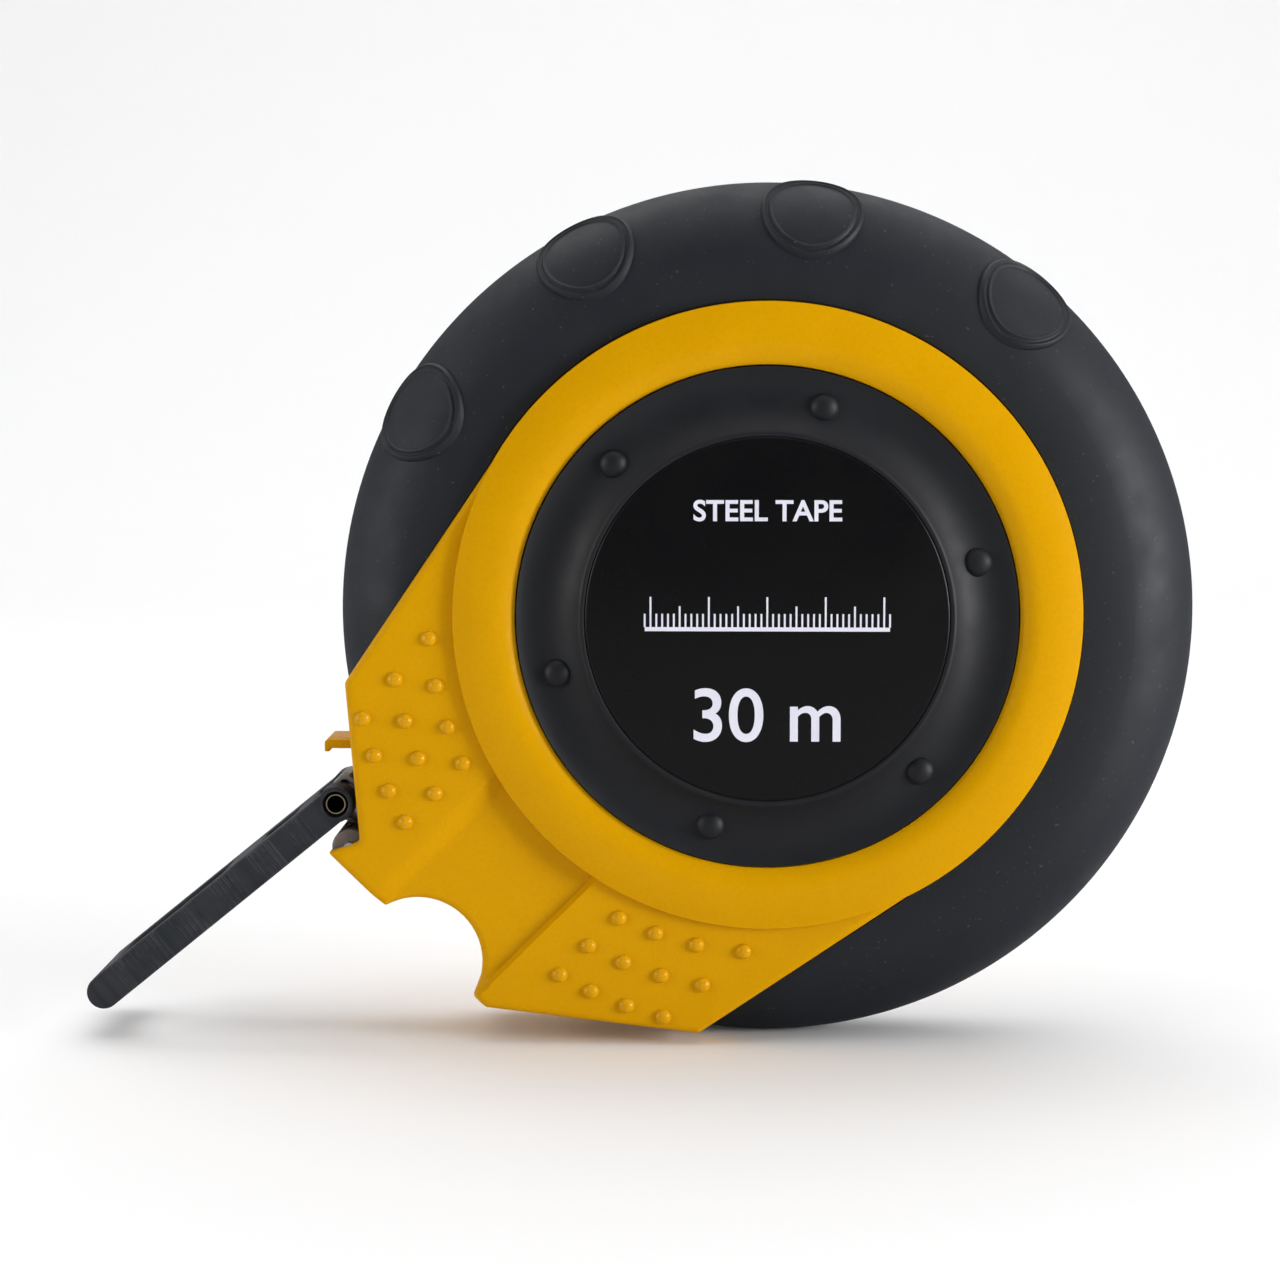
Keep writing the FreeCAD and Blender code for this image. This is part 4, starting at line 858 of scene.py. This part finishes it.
def pad_solid(side, turn):
    """Round pad that follows the shoulder, with two fine ridges."""
    rings = [0.0, 2.5, 5.0, 6.4] + list(np.arange(6.7, PAD_R, 0.16)) + [PAD_R, PAD_R]
    count = 96
    angle = math.radians(turn)
    outward = Vector((math.cos(angle), 0, math.sin(angle)))
    level = Vector((-math.sin(angle), 0, math.cos(angle)))
    axis = (outward + Vector((0, side, 0))).normalized()
    slope = (outward - Vector((0, side, 0))).normalized()
    centre = outward * PAD_TOP[0] + Vector((0, face_y(side, PAD_TOP[1]), 0))

    def over_shoulder(point):
        """Distance of a point outside the shoulder."""
        radius = math.hypot(point.x, point.z) - SHOULDER_MID[0]
        depth = (point.y - MID) * side - SHOULDER_MID[1]
        if radius < SHOULDER_TOP - SHOULDER_MID[0]:
            return depth - math.sqrt(SHOULDER_R**2 - (SHOULDER_TOP - SHOULDER_MID[0]) ** 2)
        return math.hypot(radius, depth) - SHOULDER_R

    verts, faces = [], []
    for index, away in enumerate(rings):
        last = index == len(rings) - 1
        height = -0.8 if last else pad_height(away) if away < PAD_R - 0.05 else 0.1
        for k in range(count):
            t = 2 * math.pi * k / count
            spot = centre + (level * math.cos(t) + slope * math.sin(t)) * away
            low, high = -6.0, 6.0
            for _ in range(24):
                middle = (low + high) / 2
                if over_shoulder(spot + axis * middle) > height:
                    high = middle
                else:
                    low = middle
            verts.append(spot + axis * low)
    for index in range(len(rings) - 1):
        for k in range(count):
            n = (k + 1) % count
            faces.append([index * count + k, index * count + n, (index + 1) * count + n,
                          (index + 1) * count + k])
    faces.append([(len(rings) - 1) * count + k for k in range(count)])
    return new_object("pad", verts, faces, 50.0)


def rubber_grip(side, name):
    thing = lathe("grip", grip_profile(side), 256, (0, 0), 50.0)
    for turn in PAD_TURNS:
        combine(thing, pad_solid(side, turn), "UNION")
    shape = np.array(resample(nose_outline(), 2.0))
    points = [nose_xz(*p) for p in shape]
    grow = []
    for x, z in points:
        size = math.hypot(x, z)
        grow.append((x * (1 + 0.15 / size), z * (1 + 0.15 / size)))
    near, far = sorted((face_y(side, -1), face_y(side, 20)))
    combine(thing, extrude_y("gap", grow, near, far), "DIFFERENCE")
    inner = lathe("inner", [(0, face_y(side, -1)), (72.52, face_y(side, -1)), (72.52, face_y(side, 6.03)),
                            (64.63, face_y(side, 12.63)), (0, face_y(side, 12.63))])
    combine(thing, inner, "DIFFERENCE")
    shade(thing, 42.0)
    thing.name = name
    coat(thing, RUBBER)
    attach(thing, "case")
    return thing


grip_front = rubber_grip(FRONT, "front_rubber_grip")
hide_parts("front_grip")
grip_rear = rubber_grip(REAR, "rear_rubber_grip")
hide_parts("rear_grip")

# ---------------------------------------------------------------- hub cover and label


def dished_cover():
    """Concave ring round the label, with six round nubs."""
    dish = []
    start, end = Vector((COVER_R, 18.0)), Vector((32.2, 20.8))
    chord = end - start
    radius = 9.5
    rise = math.sqrt(radius**2 - (chord.length / 2) ** 2)
    normal = Vector((chord.y, -chord.x)).normalized()
    centre = (start + end) / 2 + normal * rise
    if centre.y < 19:
        centre = (start + end) / 2 - normal * rise
    begin = math.atan2(start.y - centre.y, start.x - centre.x)
    finish_at = math.atan2(end.y - centre.y, end.x - centre.x)
    if begin < 0:
        begin += 2 * math.pi
    if finish_at < 0:
        finish_at += 2 * math.pi
    for t in np.linspace(begin, finish_at, 20):
        dish.append((centre.x + radius * math.cos(t), centre.y + radius * math.sin(t)))
    dish[0] = (COVER_R - 0.05, dish[0][1])
    profile = [(0, 19.0), (29.5, 19.0), (34, 16.0), (40.8, 16.0), (40.8, 12.65), (COVER_R, 12.65),
               (COVER_R, 17.7)]
    profile += dish
    profile += [(31.95, 20.84), (31.6, 20.8), (31.35, 20.66), (31.3, 20.5), (0, 20.5)]
    cover = lathe("cover", [(r, face_y(FRONT, depth)) for r, depth in profile], 256, (0, 0), 50.0)
    nubs = []
    for index in range(6):
        angle = math.radians(15 + 60 * index)
        nubs.append(dome("nub", 37.4 * math.cos(angle), 37.4 * math.sin(angle), FRONT, 17.5, 2.5, 1.65, 8, 32))
    thing = merge("dished_hub_cover", [cover] + nubs, 50.0)
    coat(thing, COVER)
    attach(thing, "case")
    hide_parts("hub_cover")


def label():
    """Thin disc with a rounded rim."""
    profile = [(0, 0.5), (LABEL_R, 0.5), (LABEL_R, 0.12), (LABEL_R - 0.12, 0.03), (LABEL_R - 0.3, 0.0), (0, 0.0)]
    thing = lathe("label_face_disc", profile, 256, (0, 0), 30.0)
    coat(thing, FILM)
    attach(thing, "case")
    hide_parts("label_disc")


def words(text, size, x, z):
    """Plain text lying on the label, as a thin mesh."""
    curve = bpy.data.curves.new("words", "FONT")
    curve.body = text
    curve.size = size * MM
    curve.align_x = "CENTER"
    curve.align_y = "CENTER"
    curve.extrude = 0.012 * MM
    curve.offset = 0.0001
    thing = bpy.data.objects.new("words", curve)
    bpy.context.scene.collection.objects.link(thing)
    bpy.context.view_layer.update()
    graph = bpy.context.evaluated_depsgraph_get()
    mesh = bpy.data.meshes.new_from_object(thing.evaluated_get(graph))
    weld(mesh)
    bpy.data.objects.remove(thing)
    flat = bpy.data.objects.new("words", mesh)
    bpy.context.scene.collection.objects.link(flat)
    mesh.transform(Matrix.Rotation(math.radians(90), 4, "X"))
    mesh.transform(Matrix.Translation(Vector((x, -0.012, z)) * MM))
    return flat


def label_print():
    """Generic print: a plain ruler strip and the tape's length."""
    marks = [words("30 m", 13.0, 0.0, -17.0), words("STEEL TAPE", 5.0, 0.0, 18.5)]
    left, right, low, high = -21.0, 21.0, -2.0, 6.0
    marks.append(box_solid("rule", (left, -0.025, low), (right, 0.001, low + 0.7)))
    for index in range(43):
        tall = 5.2 if index % 10 == 1 else 3.6 if index % 5 == 1 else 2.3
        x = left + (right - left) * index / 42
        marks.append(box_solid("tick", (x - 0.16, -0.025, low + 0.7), (x + 0.16, 0.001, low + 0.7 + tall)))
    thing = merge("label_print", marks, 30.0)
    coat(thing, INK)
    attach(thing, "case")


dished_cover()
label()
label_print()

# ---------------------------------------------------------------- end ring

RING_LENGTH = 53.3
RING_THICK = 2.95
RING_BOSS = 3.2
FORK_HALF = 7.0
FINGER_HALF = 9.5


def ring_place():
    """Matrix that swings the ring from its own frame to its resting place."""
    return Matrix.Translation(PIVOT) @ Matrix.Rotation(-END_RING_TURN, 4, "Y")


def end_ring():
    """Folding ring: fork, two bars, finger window, and groups of fine ribs on its flanks."""
    drop = math.degrees(math.asin(RING_THICK / RING_BOSS))
    shape = arc((0, 0), RING_BOSS, drop, 360 - drop, 28)
    shape += arc((RING_LENGTH, 0), RING_THICK, -90, 90, 14)
    ring = extrude_y("ring", shape, -RING_HALF, RING_HALF)
    windows = [(-RING_BOSS - 1, 4.5, FORK_HALF, 0), (8.0, 17.0, FORK_HALF, 1.2), (24.3, 50.3, FINGER_HALF, 3.6)]
    for start, end, half, corner in windows:
        shape = rounded([(start, -half), (end, -half), (end, half), (start, half)], corner, 6)
        window = extrude_y("window", shape, -6, 6)
        window.data.transform(Matrix.Rotation(math.radians(-90), 4, "X"))
        combine(ring, window, "DIFFERENCE")
    hole = extrude_y("hole", arc((0, 0), 1.75, 0, 345, 24), -20, 20)
    combine(ring, hole, "DIFFERENCE")
    for sign in (-1, 1):
        near, far = sorted((sign * (RING_HALF - 1.2), sign * (RING_HALF + 1)))
        combine(ring, extrude_y("seat", arc((0, 0), 2.3, 0, 348, 30), near, far), "DIFFERENCE")
    bevel(ring, 0.4, 3, 40)
    ribs = []
    groups = [(6.5, 4), (13.5, 5), (22.0, 5), (30.5, 6), (39.5, 6), (46.8, 3)]
    for start, count in groups:
        for index in range(count):
            x = start + index * 1.05
            for sign in (-1, 1):
                near, far = sorted((sign * (RING_HALF - 0.3), sign * (RING_HALF + 0.08)))
                rib = box_solid("rib", (x - 0.3, near, -2.75), (x + 0.3, far, 2.75))
                ribs.append(bevel(rib, 0.07, 2, 60))
    thing = merge("folding_end_ring", [ring] + ribs, 40.0)
    placed(thing, ring_place())
    coat(thing, GREY)
    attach(thing, "end_ring")
    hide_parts("end_ring")


def hollow_rivet():
    """Tube with rolled rims at both ends: plain brass on the rims, and a near-black copy of the brass inside and
    on the flanges as painted shade.
    """
    floor_y = RING_HALF - 1.2
    half = [(1.45, 0.6), (1.45, floor_y + 0.25), (1.55, floor_y + 0.42), (1.72, floor_y + 0.42),
            (1.85, floor_y + 0.25), (2.2, floor_y + 0.15), (2.25, floor_y), (1.75, floor_y), (1.75, 0.6)]
    inner = [(r, PIVOT.y + y) for r, y in half]
    outer = [(r, PIVOT.y - y) for r, y in reversed(half)]
    thing = lathe("hollow_rivet", inner + outer, 48, (PIVOT.x, PIVOT.z), 40.0)
    coat(thing, BRASS)
    thing.data.materials.append(BRASS_PAINTED_SHADE)
    for polygon in thing.data.polygons:
        spot = polygon.center / MM - PIVOT
        away = math.hypot(spot.x, spot.z)
        # bore and flanges take the painted-shade copy, the rolled rims the plain brass
        rim = abs(spot.y) > floor_y + 0.3 and 1.5 < away < 1.75
        polygon.material_index = 0 if rim else 1
    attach(thing, "end_ring")
    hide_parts("end_rivet")


end_ring()
hollow_rivet()

# ---------------------------------------------------------------- catch, roller, tape end


def ring_catch():
    """Hooked catch above the mouth."""
    top, under, lip, tip = CATCH["top"], CATCH["under"], CATCH["lip"], CATCH["tip"]
    shape = [(tip, top), (CATCH_ROOT, top), (CATCH_ROOT, under), (tip + 1.1, under), (tip + 0.85, lip),
             (tip, lip)]
    thing = extrude_y("hooked_catch", rounded(shape, [0.7, 0, 0, 0.5, 0.2, 0.3], 5),
                      MID - CATCH["half"], MID + CATCH["half"])
    bevel(thing, 0.22, 3, 35)
    shade(thing, 35.0)
    coat(thing, YELLOW)
    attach(thing, "case")
    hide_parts("ring_catch")


def mouth_roller():
    half = 13.8
    profile = [(1.05, ROLLER.y - half), (2.6, ROLLER.y - half), (3.0, ROLLER.y - half + 0.2),
               (3.2, ROLLER.y - half + 0.7), (3.2, ROLLER.y + half - 0.7), (3.0, ROLLER.y + half - 0.2),
               (2.6, ROLLER.y + half), (1.05, ROLLER.y + half)]
    thing = lathe("lip_roller", profile, 64, (ROLLER.x, ROLLER.z), 40.0)
    coat(thing, ROLLER_GREY)
    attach(thing, "mouth_roller")
    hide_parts("mouth_roller")


def end_fitting():
    """Folded steel strap: one leg on the tape, a loose loop round the rivet and a second leg."""
    rise = math.radians(29.5)
    inward = Vector((math.cos(rise), -math.sin(rise)))
    outward = Vector((-math.sin(rise), -math.cos(rise)))
    drop = 2.42
    path = [inward * 12.9 + outward * drop, inward * 0.6 + outward * drop]
    start = math.degrees(math.atan2(outward.y, outward.x)) % 360
    path += [Vector(p) for p in arc((0, 0), drop, start, 128, 12)]
    path += [Vector((0.3, 3.75)), Vector((1.4, 3.8)), Vector((4.2, 1.6)), inward * 5.9 + outward * 1.5,
             inward * 12.6 + outward * 1.5]
    outer, inner = [], []
    for i, p in enumerate(path):
        run = (path[min(i + 1, len(path) - 1)] - path[max(i - 1, 0)]).normalized()
        normal = Vector((run.y, -run.x))
        outer.append((PIVOT.x + p.x - normal.x * 0.38, PIVOT.z + p.y - normal.y * 0.38))
        inner.append((PIVOT.x + p.x + normal.x * 0.38, PIVOT.z + p.y + normal.y * 0.38))
    thing = extrude_y("folded_end_strap", outer + inner[::-1], MID - 6.2, MID + 6.2, 25.0)
    bevel(thing, 0.1, 2, 50)
    shade(thing, 30.0)
    coat(thing, STRAP)
    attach(thing, "tape_lead")
    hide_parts("end_fitting")


ring_catch()
mouth_roller()
end_fitting()

# ---------------------------------------------------------------- crank

DISC_FACE = 17.2
DISC_BACK = 14.7
SLOT_HALF = 7.8
SLOT_FLOOR = 13.6
WELL_END = -2.4
LUG_R = 2.3
LUG_THICK = 3.4
DISC_SCREWS = [(33 * math.cos(math.radians(t)), 33 * math.sin(math.radians(t))) for t in (30, 150, 270)]


def rear_rod(name, radius, low, high, spot=(0, 0), segments=96):
    """Round bar on the crank side between two depths."""
    profile = [(0, face_y(REAR, low)), (radius, face_y(REAR, low)), (radius, face_y(REAR, high)),
               (0, face_y(REAR, high))]
    return lathe(name, profile, segments, spot)


def cross_bar(name, radius, left, right, y, z, segments=48):
    """Round bar along X."""
    shape = [(y + radius * math.cos(t), z + radius * math.sin(t))
             for t in np.linspace(0, 2 * math.pi, segments, endpoint=False)]
    verts = [(left, a, b) for a, b in shape] + [(right, a, b) for a, b in shape]
    faces = [list(range(segments)), list(range(2 * segments - 1, segments - 1, -1))]
    for i in range(segments):
        n = (i + 1) % segments
        faces.append([i, n, segments + n, segments + i])
    return new_object(name, verts, faces)


def crank_disc():
    """Winding disc with a rolled rim, tray and well for the folded crank, skirt, bosses and lugs."""
    spot = (KNOB_AXIS.x, KNOB_AXIS.z)
    profile = [(0, 14.7), (23.5, 14.7), (23.5, 2.0), (25.85, 2.0), (25.85, 14.7), (41.2, 14.7), (42.1, 15.0),
               (DISC_R - 0.05, 15.7), (DISC_R - 0.05, 16.3), (42.1, 16.9), (41.3, 17.2), (39.9, 17.2),
               (39.6, 17.0), (39.0, 16.75), (38.4, 17.0), (38.1, 17.2), (0, 17.2)]
    disc = lathe("disc", [(r, face_y(REAR, d)) for r, d in profile], 192, (0, 0), 30.0)
    low, high = KNOB_AXIS.z - 8.4, HINGE.z + 2.6
    combine(disc, box_solid("tray", (-SLOT_HALF - 1.2, face_y(REAR, 12.4), low - 1.2),
                            (SLOT_HALF + 1.2, face_y(REAR, 15.2), high + 1.2)), "UNION")
    combine(disc, rear_rod("well", 11.2, WELL_END - 1.0, 15.2, spot), "UNION")
    for place in DISC_SCREWS:
        combine(disc, rear_rod("boss", 3.5, 8.1, 15.2, place, 40), "UNION")
    combine(disc, box_solid("slot", (-SLOT_HALF, face_y(REAR, SLOT_FLOOR), low),
                            (SLOT_HALF, face_y(REAR, 22), high)), "DIFFERENCE")
    combine(disc, rear_rod("relief", 6.4, -6, 12.4), "DIFFERENCE")
    combine(disc, rear_rod("room", 10.0, WELL_END, 19, spot), "DIFFERENCE")
    combine(disc, rear_rod("access", 4.4, 11, 19, (0, 0), 48), "DIFFERENCE")
    for place in DISC_SCREWS:
        combine(disc, rear_rod("hole", 1.3, 7, 19, place, 32), "DIFFERENCE")
        combine(disc, rear_rod("seat", 2.7, 15.4, 19, place, 40), "DIFFERENCE")
    for sign in (-1, 1):
        left, right = sorted((sign * SLOT_HALF, sign * (SLOT_HALF + LUG_THICK)))
        combine(disc, cross_bar("lug", LUG_R, left, right, HINGE.y, HINGE.z), "UNION")
    combine(disc, cross_bar("bore", 1.22, -12, 12, HINGE.y, HINGE.z, 32), "DIFFERENCE")
    disc.name = "winding_disc"
    shade(disc, 32.0)
    coat(disc, CRANK)
    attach(disc, "drum")
    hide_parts("crank_disc")


def crank_arm():
    """Folding arm with a rolled hinge, rounded edges and a shallow thumb hollow."""
    near, far = face_y(REAR, 14.0), face_y(REAR, DISC_FACE)
    z = KNOB_AXIS.z
    outline_points = [(-7.4, HINGE.z)] + arc((0, z), 8.0, 180 + 22.3, 360 - 22.3, 28) + [(7.4, HINGE.z)]
    arm = extrude_y("arm", outline_points, near, far)
    bevel(arm, 0.35, 3, 40)
    combine(arm, cross_bar("barrel", 2.0, -7.4, 7.4, HINGE.y, HINGE.z), "UNION")
    combine(arm, cross_bar("bore", 1.25, -8, 8, HINGE.y, HINGE.z, 32), "DIFFERENCE")
    groove = rounded([(-4.6, z + 9.5), (4.6, z + 9.5), (4.6, HINGE.z - 6), (-4.6, HINGE.z - 6)], 2.5, 6)
    combine(arm, extrude_y("groove", groove, far - 0.6, far + 1), "DIFFERENCE")
    combine(arm, rear_rod("rivet", 1.52, 10, 20, (KNOB_AXIS.x, z), 32), "DIFFERENCE")
    arm.name = "folding_crank_arm"
    shade(arm, 32.0)
    coat(arm, CRANK)
    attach(arm, "crank")
    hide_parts("crank_arm")


def crank_knob():
    """Waisted knob with a domed tip and a counterbore for the rivet."""
    rear_end, tip = 13.7, -2.0
    profile = [(1.55, rear_end), (1.55, tip + 1.2), (3.3, tip + 1.2), (3.3, tip + 0.15), (3.45, tip),
               (4.0, tip), (4.9, tip + 0.35), (5.7, tip + 1.1), (6.1, tip + 2.0), (6.2, tip + 3.0),
               (6.05, tip + 4.6), (5.7, tip + 6.6), (5.45, tip + 8.4), (5.4, tip + 9.4), (5.5, tip + 11.0),
               (5.8, tip + 13.0), (6.15, tip + 14.5), (6.15, tip + 14.9), (5.85, tip + 15.4),
               (5.4, rear_end)]
    knob = lathe("crank_grip_knob", [(r, face_y(REAR, d)) for r, d in profile], 96,
                 (KNOB_AXIS.x, KNOB_AXIS.z), 28.0)
    coat(knob, CRANK)
    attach(knob, "knob")
    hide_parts("knob")


def screw_group(name, node, body, places, low, head_low, shank_r, head_r, head_thick):
    """Pan-head screws with a cross recess."""
    screws = []
    for spot in places:
        top = head_low + head_thick
        profile = [(0, low), (shank_r, low), (shank_r, head_low), (head_r, head_low),
                   (head_r, top - 0.5), (head_r - 0.15, top - 0.2), (head_r - 0.55, top), (0, top)]
        screw = lathe("screw", [(r, face_y(REAR, d)) for r, d in profile], 40, spot)
        for turn in (20, 110):
            slot = box_solid("cross", (-head_r * 0.6, face_y(REAR, top - 0.8), -0.32),
                             (head_r * 0.6, face_y(REAR, top + 1), 0.32))
            placed(slot, Matrix.Translation((spot[0], 0, spot[1])) @ Matrix.Rotation(math.radians(turn), 4, "Y"))
            combine(screw, slot, "DIFFERENCE")
        screws.append(screw)
    thing = merge(name, screws, 35.0)
    coat(thing, STEEL)
    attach(thing, body)
    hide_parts(node)


crank_disc()
crank_arm()
crank_knob()
screw_group("drum_disc_screws", "drum_screws", "drum", DISC_SCREWS, 6.9, 15.4, 1.2, 2.6, 1.6)
screw_group("nose_housing_screws", "housing_screws", "case",
            [nose_xz(SCREW_OUT, sign * SCREW_SIDE) for sign in (-1, 1)], -9.0, 12.5, 1.2, 2.5, 1.6)

# ---------------------------------------------------------------- stage, light, camera


def floor():
    z = -75.4
    verts = [(-3000, -1500, z), (3000, -1500, z), (3000, 900, z), (-3000, 900, z)]
    faces = [[0, 1, 2, 3]]
    count = 12
    for k in range(1, count + 1):
        t = math.pi / 2 * k / count
        y = 900 + 600 * math.sin(t)
        up = z + 600 * (1 - math.cos(t))
        verts += [(3000, y, up), (-3000, y, up)]
    verts += [(3000, 1500, 3000), (-3000, 1500, 3000)]
    previous = (2, 3)
    for k in range(count + 1):
        a, b = 4 + 2 * k, 5 + 2 * k
        faces.append([previous[0], a, b, previous[1]])
        previous = (a, b)
    thing = new_object("studio_floor", verts, faces, 60.0)
    paint = Paint("studio_paper", (0.88, 0.88, 0.885), 0.8)
    paint.bump(paint.noise(40.0, 2.0), 0.05, 0.1)
    # seen in glossy reflections the paper is painted darker (0.45): painted shade on its reflection
    paint.tint(paint.nodes.new("ShaderNodeLightPath").outputs["Is Glossy Ray"], (0.45, 0.45, 0.46))
    coat(thing, paint.material)


def area_light(name, place, target, size, power, colour=(1, 1, 1)):
    lamp = bpy.data.lights.new(name, "AREA")
    lamp.shape = "RECTANGLE"
    lamp.size = size[0]
    lamp.size_y = size[1]
    lamp.energy = power
    lamp.color = colour
    thing = bpy.data.objects.new(name, lamp)
    bpy.context.scene.collection.objects.link(thing)
    thing.location = Vector(place)
    thing.rotation_euler = (Vector(target) - Vector(place)).to_track_quat("-Z", "Y").to_euler()
    return thing


def sky():
    """Soft surround: dim behind the camera for what the object reflects, pale for the camera itself."""
    world = bpy.data.worlds.new("studio")
    bpy.context.scene.world = world
    world.use_nodes = True
    nodes, links = world.node_tree.nodes, world.node_tree.links
    split = nodes.new("ShaderNodeSeparateXYZ")
    links.new(nodes.new("ShaderNodeTexCoord").outputs["Generated"], split.inputs["Vector"])
    fade = nodes.new("ShaderNodeMapRange")
    fade.interpolation_type = "SMOOTHSTEP"
    fade.inputs["From Min"].default_value = -1.0
    fade.inputs["From Max"].default_value = 0.1
    fade.inputs["To Min"].default_value = 0.07
    fade.inputs["To Max"].default_value = 0.85
    links.new(split.outputs["Y"], fade.inputs["Value"])
    background = nodes["Background"]
    background.inputs["Color"].default_value = (1, 1, 1, 1)
    seen = nodes.new("ShaderNodeMath")
    seen.operation = "MULTIPLY"
    seen.inputs[1].default_value = 0.9
    links.new(nodes.new("ShaderNodeLightPath").outputs["Is Camera Ray"], seen.inputs[0])
    strength = nodes.new("ShaderNodeMath")
    strength.operation = "MAXIMUM"
    links.new(seen.outputs["Value"], strength.inputs[0])
    links.new(fade.outputs["Result"], strength.inputs[1])
    links.new(strength.outputs["Value"], background.inputs["Strength"])


def lights():
    sky()
    area_light("key", (0.88, -0.42, 0.04), (0, 0, 0), (0.45, 0.55), 12.8)
    area_light("fill", (-0.95, -0.42, 0.10), (0, 0, 0), (0.5, 0.6), 4.2)
    area_light("top", (-0.1, -0.1, 1.1), (0, 0, 0), (0.9, 0.7), 2.0)
    area_light("back", (0.0, 0.8, 1.1), (0, 0.6, -0.1), (2.0, 1.0), 10.0)


def camera():
    data = bpy.data.cameras.new("camera")
    data.lens = 93.25
    data.sensor_width = 36
    thing = bpy.data.objects.new("camera", data)
    bpy.context.scene.collection.objects.link(thing)
    thing.location = Vector((-6.5, MID - 586.9, 51.7)) * MM
    aim = Vector((-0.0269, 0.9949, -0.0971))
    thing.rotation_euler = aim.to_track_quat("-Z", "Y").to_euler()
    bpy.context.scene.camera = thing
    bpy.context.scene.view_settings.view_transform = "Standard"


floor()
lights()
camera()
